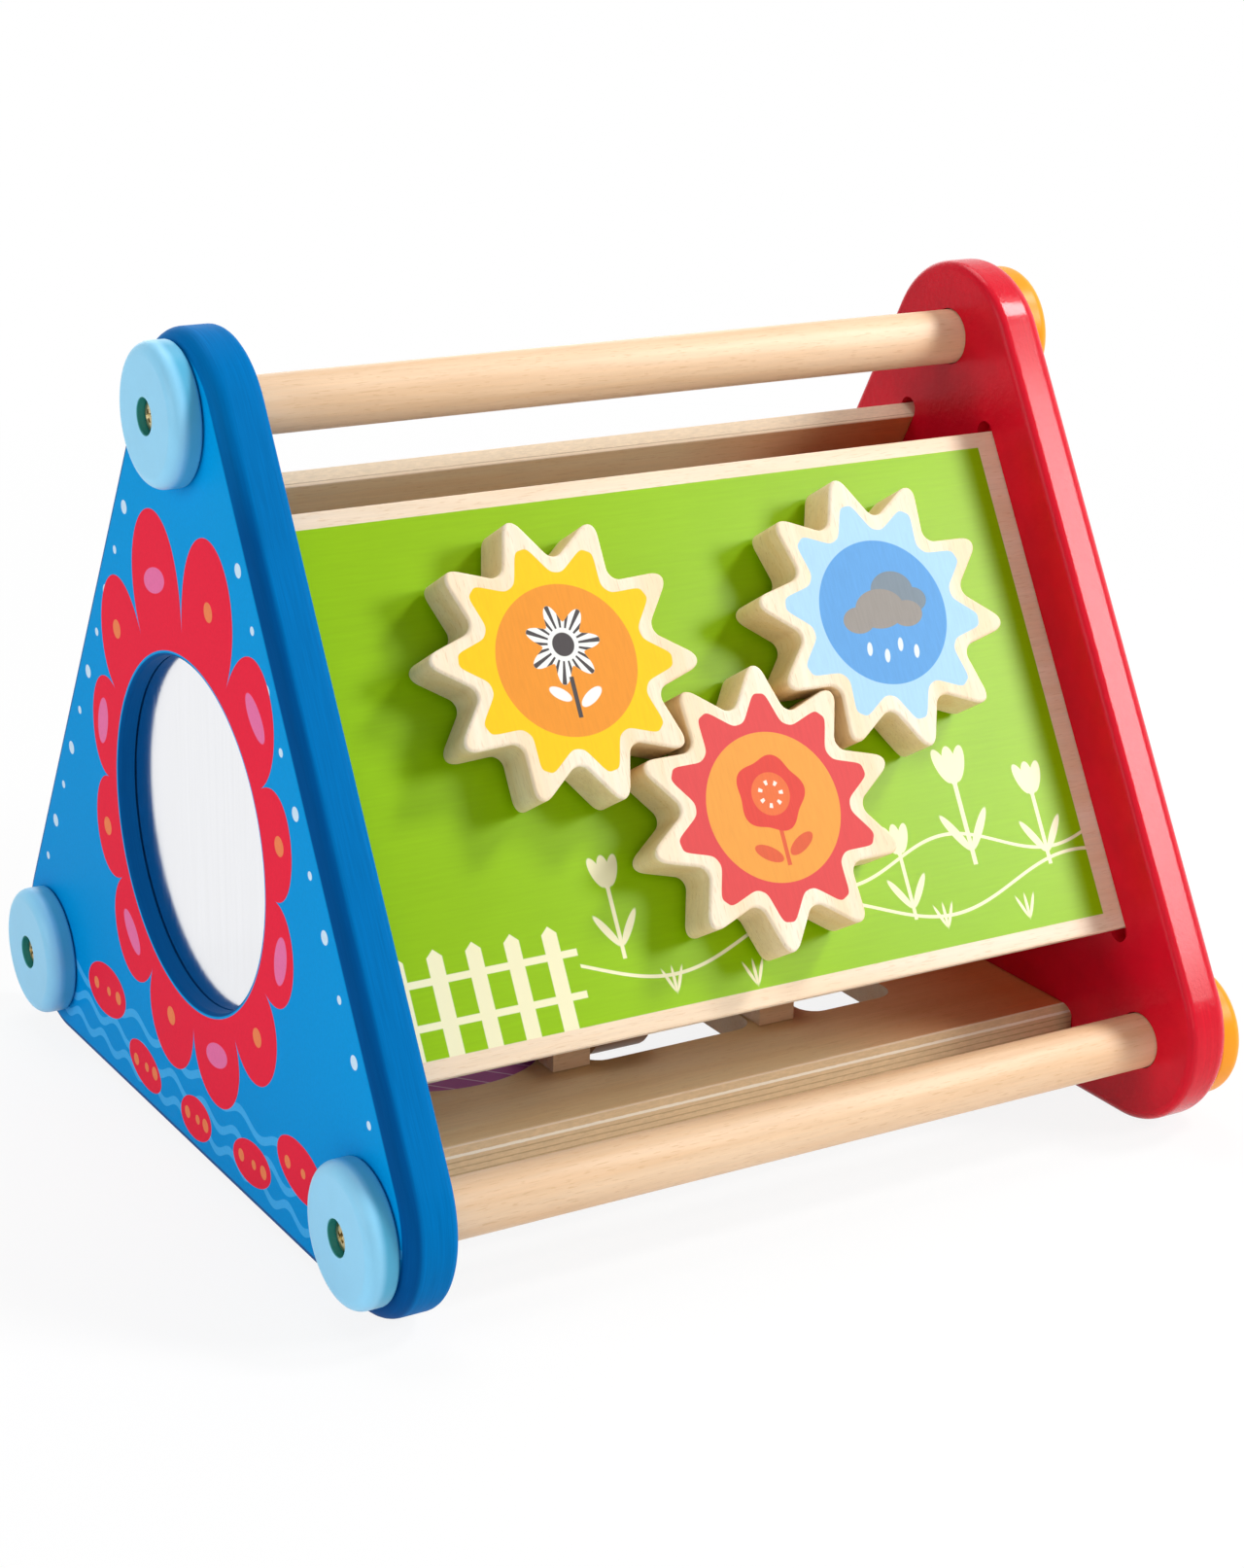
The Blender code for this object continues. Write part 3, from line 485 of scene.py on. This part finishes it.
# Painted shade: the shoulder colour darkens the outer round-over, and the wall colour darkens the mirror hole's
# wall
blueLook = {"edge": "0071b7", "shoulder": "004a8c", "shoulderShadeWidth": 0.0035, "wall": "04508e",
            "faceHigh": "009ce3", "faceLow": "0096e0", "red": "f22844", "orange": "f58a58",
            "pink": "ee78ac", "water": "44b4f4", "dot": "d2ecfe", "roughness": 0.5,
            "shoulderShadeDepth": (0.85, 0.15), "topHighlightFrom": 0.085, "topHighlightTo": 0.112,    # painted highlight: the shoulder's painted shade is lighter on the top corner
            "petals": 12, "petalStart": 0.0520, "petalHeight": 0.0110, "holeRing": 0.0469,
            "spotReach": 0.0565, "spotRise": 0.0085, "oval": (0.0066, 0.0135), "spot": 0.0050,
            "dots": {"from": 0.0770, "step": 0.0128, "count": 10, "inset": 0.0125,
                     "sizes": (0.0036, 0.0022)},
            "waves": [(-0.0655, 0.0018, 44), (-0.0730, 0.0018, 50), (-0.0800, 0.0016, 58)],
            "waveWidth": 0.0024, "stoneSpots": ((-0.28, 0.0042), (0.05, 0.0032), (0.30, 0.0046)),
            "stones": [(-0.0600, -0.0640, 0.027, 0.0150, 6), (-0.0340, -0.0765, 0.022, 0.0120, -8),
                       (0.0000, -0.0780, 0.020, 0.0120, 10), (0.0350, -0.0760, 0.023, 0.0120, 8),
                       (0.0640, -0.0660, 0.027, 0.0150, -6)]}


def brushed(code, finish):
    # Paint laid on with the edge: faint streaks along it and a soft unevenness
    streaks = noise(finish.place, (2600, 70, 70), 3.0, 0.6)
    clouds = noise(finish.place, (30, 30, 30), 2.0)
    uneven = spread(streaks, 0.25, 0.75, 0.88, 1.10) * spread(clouds, 0.3, 0.7, 0.98, 1.02)
    return shade(colour(code), uneven), streaks


def blueFinish():
    look = blueLook
    finish = Finish("blue_paint_and_print", look["roughness"], 0.02)
    paint, streaks = brushed(look["edge"], finish)
    x, y, z = finish.xyz
    across, up = 0 - y, z - middle("mirror").z
    speckle = noise(finish.place, (1100, 1100, 1100), 3.0, 0.7)
    grainy = spread(speckle, 0.25, 0.75, 0.95, 1.05)
    face = mix(spread(up, -0.085, 0.075), colour(look["faceLow"]), colour(look["faceHigh"]))
    for level, swing, waves in look["waves"]:
        crest = (across * (waves * 2 * math.pi)).maths("SINE") * swing + level
        face = mix(below(abs(up - crest), look["waveWidth"] / 2), face, colour(look["water"]))
    # Dots in a row inside each sloping side, large and small by turns
    dots, lift = look["dots"], middle("mirror").z - centreHeight
    side = inradius + cornerRadius - dots["inset"]
    for step in range(dots["count"]):
        level = dots["from"] - dots["step"] * step
        spot = ((side - (level + lift) / 2) / math.cos(math.radians(30)), level)
        face = mix(filled(abs(across), up, spot, dots["sizes"][step % 2]), face, colour(look["dot"]))
    red = colour(look["red"])
    for middleX, middleY, width, height, lean in look["stones"]:
        face = mix(filled(across, up, (middleX, middleY), width, height, lean), face, red)
        for step, size in look["stoneSpots"]:
            spot = (middleX + width * step, middleY + height * step * 0.1)
            face = mix(filled(across, up, spot, size * 0.8), face, colour(look["orange"]))
    # The flower round the mirror, with pink ovals and orange spots on its petals by turns
    reach, turn = distance(across, up), direction(across, up)
    phase = (turn * (look["petals"] / 2 / math.pi) + 20).maths("PINGPONG", 0.5) * 2
    scallop = (1 - (1 - phase) * (1 - phase)).maths("SQRT")
    sine = up / reach
    stretch = sine * sine * (sine * 0.6 + 1.3) + 1     # longest at the top, long at the bottom
    face = mix(below(reach, scallop * stretch * look["petalHeight"] + look["petalStart"]), face, red)
    face = mix(below(reach, look["holeRing"]), face, colour(look["faceHigh"]))
    step = 2 * math.pi / look["petals"]
    for petal in range(look["petals"]):
        angle = step * (petal + 0.5)
        out = look["spotReach"] + look["spotRise"] * max(0, math.sin(angle)) ** 2
        spot = (out * math.cos(angle), out * math.sin(angle))
        if petal % 2:
            highlight = filled(across, up, spot, *look["oval"], math.degrees(angle))
            face = mix(highlight, face, colour(look["pink"]))
        else:
            face = mix(filled(across, up, spot, look["spot"]), face, colour(look["orange"]))
    # Painted shade: the outer round-over (the shoulder) is painted darker, less so on the top corner as a painted
    # highlight
    fromFace = x + outerFace
    worn = streaks * 0.3 + 0.85
    dark = spread(up, look["topHighlightFrom"], look["topHighlightTo"], *look["shoulderShadeDepth"])
    dark = below(fromFace, look["shoulderShadeWidth"], 0.0008) * dark
    paint = mix(dark, paint, shade(colour(look["shoulder"]), worn))
    # painted shade in the recess: the wall of the mirror hole is painted darker
    paint = mix(below(reach, endPanel["mirrorHole"] + 0.0008), paint, shade(colour(look["wall"]), worn))
    finish.link("Base Color", mix(below(fromFace, 0.00008, 0.00005), paint, shade(face, grainy)))
    finish.bump(streaks * 0.6 + speckle * 0.4, 0.00005, 0.5)
    return finish.material


redLook = {"paint": "d40b26", "roughness": 0.22, "flatCoat": 0.05, "rimCoat": 0.24, "rimInset": 0.0012}


def redFinish():
    # The lacquer is glossier round the rim than on the faces
    look = redLook
    finish = Finish("red_lacquer", look["roughness"], 0.1, coatRoughness=0.12)
    paint, streaks = brushed(look["paint"], finish)
    along, inset = finish.xyz[0], look["rimInset"]
    onRim = above(along, innerFace + inset, 0.0008) * below(along, outerFace - inset, 0.0008)
    flatCoat, rimCoat = [(look[key],) * 3 + (1,) for key in ("flatCoat", "rimCoat")]
    finish.link("Coat Weight", mix(onRim, flatCoat, rimCoat))
    peel = noise(finish.place, (620, 620, 620), 4.0, 0.7)
    finish.link("Base Color", paint)
    finish.bump(peel, 0.0002, 0.7)      # orange peel
    return finish.material


satinLook = {"roughness": 0.34, "specular": 0.22, "sideShadeSoft": 0.0012}


def satinPaint(name, code, wall=None, side=(1.0, 1.0, 1.0)):
    # On a cap the turned side is painted darker as shade, and the wall round the screw is painted dark as the
    # shade in its recess
    finish = Finish(name, satinLook["roughness"], satinLook["specular"])
    soft = noise(finish.place, (150, 150, 150), 2.0)
    fine = noise(finish.place, (1700, 1700, 1700), 3.0, 0.7)
    paint = shade(colour(code), 0.94 + soft * 0.07 + fine * 0.05)
    if wall:
        # painted shade: below the rim round the turned side is tinted darker
        shoulder = outerFace + extent("blue_top_cap", 0) - capLook["rimRound"]
        onSide = below(abs(finish.xyz[0]), shoulder, satinLook["sideShadeSoft"])
        paint = mix(onSide, paint, vector("MULTIPLY", paint, side))
        # painted shade in the recess round each screw
        for hole in dowelPlaces.values():
            reach = distance(finish.xyz[1] - hole.y, finish.xyz[2] - hole.z)
            paint = mix(below(reach, capLook["hole"] + 0.0002), paint, colour(wall))
    finish.link("Base Color", paint)
    finish.bump(fine, 0.00003, 0.5)
    return finish.material


zincLook = {"dull": "9c8850", "bright": "dccea2", "roughness": 0.3}
mirrorLook = {"silver": "f3f4f7", "roughness": 0.12, "bevel": 0.0002}


def screwFinish():
    finish = Finish("yellow_zinc", zincLook["roughness"], metallic=1.0)
    worn = noise(finish.place, (900, 900, 900), 3.0, 0.6)
    finish.link("Base Color", mix(worn, colour(zincLook["dull"]), colour(zincLook["bright"])))
    finish.link("Roughness", spread(worn, 0.2, 0.8, 0.22, 0.45))
    finish.bump(worn, 0.00004, 0.5)
    return finish.material


def mirrorFinish():
    finish = Finish("mirror_sheet", mirrorLook["roughness"], metallic=1.0)
    rub = noise(finish.place, (1, 700, 20), 3.0, 0.6)
    finish.link("Base Color", shade(colour(mirrorLook["silver"]), spread(rub, 0.2, 0.8, 0.95, 1.0)))
    finish.link("Roughness", spread(rub, 0.2, 0.8, 0.08, 0.18))
    return finish.material


boardLook = {"brown": "8a6a4a", "roughness": 0.75}


def boardFinish(name):
    # Pressed fibre, for the washers, the bush and the board behind the mirror
    finish = Finish(name, boardLook["roughness"], 0.3)
    fibres = noise(finish.place, (700, 700, 250), 3.0, 0.7)
    finish.link("Base Color", shade(colour(boardLook["brown"]), 0.85 + fibres * 0.3))
    finish.bump(fibres, 0.00006, 0.6)
    return finish.material


# Mesh helpers

overcut = 0.01      # how far a cutter runs past the face that it opens
merge = 1e-6        # vertices closer than this are one


def turned(profile, steps, closed=False):
    # (radius, height) points turned about Z
    bm = bmesh.new()
    verts = [bm.verts.new((radius, 0, height)) for radius, height in profile]
    edges = [bm.edges.new(pair) for pair in zip(verts, verts[1:])]
    if closed:
        edges.append(bm.edges.new((verts[-1], verts[0])))
    bmesh.ops.spin(bm, geom=verts + edges, cent=(0, 0, 0), axis=(0, 0, 1), angle=2 * math.pi,
                   steps=steps, use_merge=True)
    bmesh.ops.remove_doubles(bm, verts=bm.verts, dist=merge)
    return bm


def boring(radius, depth, steps):
    # A cutter for a blind hole of this depth
    return turned([(0, -overcut), (radius, -overcut), (radius, depth), (0, depth)], steps)


def arc(centre, radius, start, end, steps):
    angles = [math.radians(start + (end - start) * step / steps) for step in range(steps + 1)]
    return [(centre[0] + radius * math.cos(angle), centre[1] + radius * math.sin(angle))
            for angle in angles]


def pushedUp(bm, depth):
    # Extrudes the one flat face of a mesh along +Z
    made = bmesh.ops.extrude_face_region(bm, geom=bm.faces[:])
    raised = [part for part in made["geom"] if isinstance(part, bmesh.types.BMVert)]
    bmesh.ops.translate(bm, vec=(0, 0, depth), verts=raised)
    bmesh.ops.recalc_face_normals(bm, faces=bm.faces)
    return bm


def outlineOfArcs(arcs):
    # Arcs joined by straight runs; each is (centre, radius, start, sweep, steps), angles in degrees
    bm = bmesh.new()
    for (x, y), radius, start, sweep, steps in arcs:
        turn = math.radians(start)
        first = bm.verts.new((x + radius * math.cos(turn), y + radius * math.sin(turn), 0))
        bmesh.ops.spin(bm, geom=[first], cent=(x, y, 0), axis=(0, 0, 1), angle=math.radians(sweep),
                       steps=steps)
    bm.faces.new(bm.verts[:])
    return bm


def soften(bm, edges, width, segments):
    bmesh.ops.bevel(bm, geom=edges, offset=width, offset_type="OFFSET", segments=segments, profile=0.5,
                    affect="EDGES", material=-1, clamp_overlap=True)


def rim(bm, height):
    # The edges round a flat end at this height
    return [edge for edge in bm.edges if all(abs(vert.co.z - height) < merge for vert in edge.verts)
            and len({round(face.normal.z) for face in edge.link_faces}) > 1]


def reachOf(upright):
    return upright.verts[0].co.xy.length


def uprights(bm):
    return [edge for edge in bm.edges if (edge.verts[0].co - edge.verts[1].co).xy.length < 1e-7]


def meshOf(bm, name, place):
    bm.transform(place)
    bm.normal_update()
    bmesh.ops.recalc_face_normals(bm, faces=bm.faces)
    mesh = bpy.data.meshes.new(name)
    bm.to_mesh(mesh)
    bm.free()
    return mesh


def carved(mesh, cutters):
    # The mesh less each cutter, worked out once so that no cutter stays in the scene
    blank = bpy.data.objects.new("blank", mesh)
    bpy.context.scene.collection.objects.link(blank)
    spent = [blank]
    for cutter in cutters:
        tool = bpy.data.objects.new("tool", cutter)
        bpy.context.scene.collection.objects.link(tool)
        hole = blank.modifiers.new("Hole", "BOOLEAN")
        hole.operation = "DIFFERENCE"
        hole.solver = "EXACT"
        hole.object = tool
        spent.append(tool)
    bpy.context.view_layer.update()
    result = bpy.data.meshes.new_from_object(blank.evaluated_get(bpy.context.evaluated_depsgraph_get()))
    for thing in spent:
        bpy.data.objects.remove(thing)
    return result


def outFrom(x, y, z, outward=1):
    # Local Z points out along X, local Y stays up
    axes = Matrix(((0, 0, outward), (outward, 0, 0), (0, 1, 0))).to_4x4()
    return Matrix.Translation((x, y, z)) @ axes


sharpAngle = 32


def addPiece(name, mesh, finish, *replaced):
    piece = bpy.data.objects.new(name, mesh)
    bpy.context.scene.collection.objects.link(piece)
    mesh.shade_smooth()
    mesh.set_sharp_from_angle(angle=math.radians(sharpAngle))
    mesh.materials.clear()
    mesh.materials.append(finish)
    flat = piece.modifiers.new("Flat faces stay flat", "WEIGHTED_NORMAL")
    flat.keep_sharp = True
    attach(piece, bodyOf[replaced[0]])
    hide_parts(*replaced)


# Camera, lights and floor

cameraLook = {"location": (-0.405628, -0.681555, 0.354702), "turn": (71.1398, -0.9776, -30.7616),
              "lens": 70.983}


def addCamera():
    data = bpy.data.cameras.new("camera")
    data.lens = cameraLook["lens"]
    data.clip_start, data.clip_end = 0.02, 20
    camera = bpy.data.objects.new("camera", data)
    camera.location = cameraLook["location"]
    camera.rotation_euler = [math.radians(angle) for angle in cameraLook["turn"]]
    bpy.context.scene.collection.objects.link(camera)
    bpy.context.scene.camera = camera


# Each light: direction from the box, distance, width and power
studio = {"lights": {"key": ((0.59, -0.30, 0.75), 1.5, 0.32, 9.6),
                     "sheen": ((0.63, -0.61, 0.475), 1.5, 0.44, 10.2),
                     "fill": ((-0.96, -0.06, 0.32), 1.8, 1.4, 12.3),
                     "front": ((-0.42, -0.88, 0.22), 1.6, 0.8, 2.2),
                     "top": ((0.05, 0.36, 0.93), 1.5, 0.9, 7.8),
                     "back": ((0.3, 0.9, 0.3), 1.8, 1.2, 4.0)},
          "ambient": 0.14, "floor": 0.95, "floorSize": 6, "floorRoughness": 0.9,
          "floorGlow": 0.88, "glowFrom": 0.2, "glowTo": 0.9}


def addLight(name, towards, reach, width, power):
    data = bpy.data.lights.new(name, "AREA")
    data.shape = "DISK"
    data.size = width
    data.energy = power
    light = bpy.data.objects.new(name, data)
    out = Vector(towards).normalized()
    light.location = Vector((0, 0, centreHeight)) + out * reach
    light.rotation_euler = out.to_track_quat("Z", "Y").to_euler()
    bpy.context.scene.collection.objects.link(light)


def lightPath(tree, *outputs):
    path = tree.nodes.new("ShaderNodeLightPath")
    return either(*[Wire(tree, path.outputs[output]) for output in outputs])


def addStudio():
    for name, values in studio["lights"].items():
        addLight(name, *values)
    world = bpy.data.worlds.new("studio")
    bpy.context.scene.world = world
    world.use_nodes = True
    tree = world.node_tree
    seen = lightPath(tree, "Is Camera Ray", "Is Glossy Ray", "Is Transmission Ray")
    level = studio["ambient"]
    background = tree.nodes["Background"]
    tree.links.new(mix(seen, (level, level, level, 1), (1, 1, 1, 1)).socket, background.inputs["Color"])
    background.inputs["Strength"].default_value = 1


def addFloor():
    bm = bmesh.new()
    bmesh.ops.create_grid(bm, x_segments=1, y_segments=1, size=studio["floorSize"])
    ground = bpy.data.objects.new("studio_floor", meshOf(bm, "studio_floor", Matrix.Identity(4)))
    bpy.context.scene.collection.objects.link(ground)
    finish = Finish("white_floor", studio["floorRoughness"], 0.0)
    level = studio["floor"]
    finish.shader.inputs["Base Color"].default_value = (level, level, level, 1)
    tree = finish.tree
    seen = lightPath(tree, "Is Camera Ray", "Is Glossy Ray", "Is Transmission Ray")
    glow = tree.nodes.new("ShaderNodeEmission")
    mixer = tree.nodes.new("ShaderNodeMixShader")
    # Whiter away from the box, where the lamps fall off
    level = spread(distance(finish.xyz[0], finish.xyz[1]), studio["glowFrom"], studio["glowTo"],
                   studio["floorGlow"], 1.0)
    tree.links.new((seen * level).socket, mixer.inputs[0])
    tree.links.new(finish.shader.outputs[0], mixer.inputs[1])
    tree.links.new(glow.outputs[0], mixer.inputs[2])
    tree.links.new(mixer.outputs[0], tree.nodes["Material Output"].inputs["Surface"])
    ground.data.materials.append(finish.material)


# End panels

endPanel = {"outerRound": 0.0045, "innerRound": 0.0024, "grooveDepth": 0.004, "socketDepth": 0.008,
            "clearance": 0.0003, "mirrorHole": 0.0455, "holeRound": 0.0012, "lip": 0.0045,
            "lipWidth": 0.004}


def endPanelMesh(name, outward):
    look = endPanel
    thickness = outerFace - innerFace
    reach = 2 * (centreHeight - cornerRadius)
    corners = []
    for angle in (90, 210, 330):
        turn = math.radians(angle)
        centre = (reach * math.cos(turn), reach * math.sin(turn))
        corners.append((centre, cornerRadius, angle - 60, 120, 48))
    bm = pushedUp(outlineOfArcs(corners), thickness)
    soften(bm, rim(bm, thickness), look["outerRound"], 8)
    soften(bm, rim(bm, 0), look["innerRound"], 6)
    panel = meshOf(bm, name, outFrom(outward * innerFace, 0, centreHeight, outward))
    cutters = []
    wall = dowelRadius + look["clearance"]
    for spot in dowelPlaces.values():
        socket = boring(wall, look["socketDepth"], 64)
        cutters.append(meshOf(socket, "socket", outFrom(outward * innerFace, spot.y, spot.z, outward)))
    for side, board in sides.items():
        half = board["thickness"] / 2 + look["clearance"]
        straight = board["width"] / 2 + look["clearance"]
        ends = [((straight, 0), half, -90, 180, 12), ((-straight, 0), half, 90, 180, 12)]
        groove = pushedUp(outlineOfArcs(ends), 2 * look["grooveDepth"])
        out = sideAxes(side)[2]
        inward = Vector((outward, 0, 0))
        axes = Matrix((out.cross(inward), out, inward)).transposed().to_4x4()
        start = Vector((outward * (innerFace - look["grooveDepth"]), 0, centreHeight))
        start += out * (inradius + board["inner"] + board["thickness"] / 2)
        cutters.append(meshOf(groove, "groove", Matrix.Translation(start) @ axes))
    if outward < 0:
        mouth, step = look["mirrorHole"], thickness - look["lip"]
        back, flare = mouth + look["lipWidth"], look["holeRound"]
        profile = [(0, -overcut), (back, -overcut), (back, step), (mouth, step)]
        profile += arc((mouth + flare, thickness - flare), flare, 180, 90, 6)
        profile += [(mouth + flare, thickness + overcut), (0, thickness + overcut)]
        place = outFrom(outward * innerFace, 0, middle("mirror").z, outward)
        cutters.append(meshOf(turned(profile, 128), "mirror_hole", place))
    return carved(panel, cutters)


# Dowels, caps and screws

dowelChamfer = 0.0008


def addDowels(finish):
    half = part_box("handle_dowel")[1].x
    profile = [(0, -half), (dowelRadius - dowelChamfer, -half), (dowelRadius, dowelChamfer - half),
               (dowelRadius, half - dowelChamfer), (dowelRadius - dowelChamfer, half), (0, half)]
    for where, spot in dowelPlaces.items():
        mesh = meshOf(turned(profile, 72), dowelNodes[where], outFrom(0, spot.y, spot.z))
        addPiece(f"{where}_dowel_turned", mesh, finish, dowelNodes[where])


capLook = {"rimRound": 0.0034, "backRound": 0.0008, "hole": 0.0045, "holeRound": 0.0004, "bore": 0.0023,
           "seat": 0.0037}
# Name, paint, the painted shade on the wall round the screw, and the painted shade tint of the turned side
capPaints = {"blue": ("light_blue_paint", "92d8fa", "2a8a86", (0.32, 0.64, 0.70)),
             "red": ("orange_paint", "f49c14", "8a4a1e")}
screwLook = {"head": 0.004, "height": 0.0024, "domed": 0.35, "shank": 0.002, "length": 0.034,
             "slot": 0.0011, "reach": 0.0046, "depth": 0.0014, "turn": 20, "turnStep": 35}


def capMesh(name, thickness, radius, place):
    look = capLook
    back, front, mouth = look["backRound"], look["rimRound"], look["hole"] + look["holeRound"]
    profile = [(look["bore"], 0)] + arc((radius - back, back), back, -90, 0, 3)
    profile += arc((radius - front, thickness - front), front, 0, 90, 9)
    profile += arc((mouth, thickness - look["holeRound"]), look["holeRound"], 90, 180, 4)
    profile += [(look["hole"], thickness - look["seat"]), (look["bore"], thickness - look["seat"])]
    return meshOf(turned(profile, 96, closed=True), name, place)


def screwMesh(name, place, turn):
    # Local Z = 0 is the top of the domed head, and the cross in it is turned by so many degrees
    look = screwLook
    head, shank, height = look["head"], look["shank"], look["height"]
    dome, tip = height * look["domed"], -height - look["length"]
    top = [(head * share, -dome * share ** 2) for share in (0.95, 0.8, 0.6, 0.4, 0.2, 0)]
    profile = [(0, tip), (shank, tip + shank), (shank, -height), (head, -height), (head, -dome * 1.1)]
    profile += top
    blank = meshOf(turned(profile, 48), name, Matrix.Identity(4))
    cutters = []
    for angle in (turn, turn + 90):
        blade = bmesh.new()
        bmesh.ops.create_cube(blade, size=1)
        bmesh.ops.scale(blade, vec=(look["reach"], look["slot"], 2 * look["depth"]), verts=blade.verts)
        foot = [vert for vert in blade.verts if vert.co.z < 0]
        bmesh.ops.scale(blade, vec=(0.45, 0.8, 1), verts=foot)      # the recess tapers as it goes down
        cutters.append(meshOf(blade, "blade", Matrix.Rotation(math.radians(angle), 4, "Z")))
    mesh = carved(blank, cutters)
    mesh.transform(place)
    return mesh


def addCaps(steel):
    for end, outward in (("blue", -1), ("red", 1)):
        finish = satinPaint(*capPaints[end])
        for step, (where, spot) in enumerate(dowelPlaces.items()):
            cap, screw = f"{end}_{where}_cap", f"{end}_{where}_screw"
            back = outward * min(abs(corner.x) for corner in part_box(cap))
            place = outFrom(back, spot.y, spot.z, outward)
            mesh = capMesh(cap, extent(cap, 0), extent(cap, 2) / 2, place)
            addPiece(f"{cap}_turned", mesh, finish, cap)
            tip = outward * max(abs(corner.x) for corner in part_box(screw))
            turn = screwLook["turn"] + screwLook["turnStep"] * step
            mesh = screwMesh(screw, outFrom(tip, spot.y, spot.z, outward), turn)
            addPiece(f"{screw}_cut", mesh, steel, screw)


# Mirror and gears


def addMirror(finish):
    spot, radius, thickness = middle("mirror"), extent("mirror", 2) / 2, extent("mirror", 0)
    bevel = mirrorLook["bevel"]
    profile = [(0, 0), (radius, 0), (radius, thickness - bevel), (radius - bevel, thickness),
               (0, thickness)]
    mesh = meshOf(turned(profile, 128), "mirror", outFrom(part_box("mirror")[1].x, spot.y, spot.z, -1))
    addPiece("mirror_disc", mesh, finish, "mirror")


def addGear(name, finish):
    look = gearShape
    half = math.pi / look["teeth"]
    bm = bmesh.new()
    bmesh.ops.create_circle(bm, cap_ends=True, segments=2 * look["teeth"], radius=look["toothCorner"])
    for vert in bm.verts:
        if round(math.atan2(vert.co.x, vert.co.y) / half) % 2:
            vert.co *= look["valleyCorner"] / look["toothCorner"]
    quarter = Matrix.Rotation(math.radians(-90), 3, "Z")
    bmesh.ops.rotate(bm, cent=(0, 0, 0), matrix=quarter, verts=bm.verts)
    pushedUp(bm, look["thickness"])
    limit = (look["toothCorner"] + look["valleyCorner"]) / 2
    flank = math.atan2(look["valleyCorner"] * math.sin(half),
                       look["toothCorner"] - look["valleyCorner"] * math.cos(half))
    tips = [edge for edge in uprights(bm) if reachOf(edge) > limit]
    soften(bm, tips, look["toothRound"] / math.tan(flank), 10)
    valleys = [edge for edge in uprights(bm) if reachOf(edge) < look["valleyCorner"] * 1.001]
    soften(bm, valleys, look["valleyRound"] / math.tan(flank + half), 8)
    bmesh.ops.recalc_face_normals(bm, faces=bm.faces)
    soften(bm, rim(bm, look["thickness"]), look["faceRound"], 3)
    soften(bm, rim(bm, 0), look["faceRound"], 3)
    bore = meshOf(boring(look["bore"], look["boreDepth"], 40), "bore", Matrix.Identity(4))
    mesh = carved(meshOf(bm, name, Matrix.Identity(4)), [bore])
    axes = Matrix(sideAxes("gear")).transposed().to_4x4()
    turn = Matrix.Rotation(math.radians(gearPrints[name]["tooth"]), 4, "Z")
    mesh.transform(Matrix.Translation(gearPlaces[name]) @ axes @ turn)
    addPiece(f"{name}_gear_star", mesh, finish, f"{name}_gear")


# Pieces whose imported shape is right: a merged copy, shaded smooth

flatAngle = 0.5


def polish(node, finish):
    mesh = frame["nodes"][node].data.copy()
    bm = bmesh.new()
    bm.from_mesh(mesh)
    bmesh.ops.remove_doubles(bm, verts=bm.verts, dist=merge)
    bmesh.ops.dissolve_limit(bm, angle_limit=math.radians(flatAngle), verts=bm.verts, edges=bm.edges)
    bm.to_mesh(mesh)
    bm.free()
    addPiece(f"{node}_smooth", mesh, finish, node)


addCamera()
addStudio()
addFloor()
print("camera, lights and floor are set")

beech, steel, fibre = woodFinish("beech"), screwFinish(), boardFinish("fibre")
addPiece("blue_end_board", endPanelMesh("blue_end_board", -1), blueFinish(), "blue_end_panel")
addPiece("red_end_board", endPanelMesh("red_end_board", 1), redFinish(), "red_end_panel")
print("end panels are made")

addDowels(beech)
addCaps(steel)
addMirror(mirrorFinish())
polish("mirror_backing", boardFinish("hardboard"))
print("dowels, caps, screws and mirror are made")

polish("gear_panel", meadowFinish())
polish("rear_panel", plyFinish("rear_plywood", "rear"))
polish("floor_panel", floorFinish())
for name in gearPrints:
    addGear(name, gearFinish(name))
    for node, finish in (("shaft", beech), ("retainer", beech), ("spacer", fibre), ("screw", steel)):
        polish(f"{name}_gear_{node}", finish)
print("sides and gears are made")

darkRed = satinPaint("dark_red_paint", "a8202c")
for side in ("left", "right"):
    polish(f"{side}_rod_support", beech)
    polish(f"{side}_support_screw", steel)
    polish(f"{side}_rod_cap", darkRed)
polish("roller_rod", beech)
polish("roller_bush", fibre)
# the roller gets the darker, painted-shade copy of the beech
polish("roller", woodFinish("brown_wood", shadedWoodLook))
print("roller is made")

bpy.context.scene.view_settings.view_transform = "Standard"
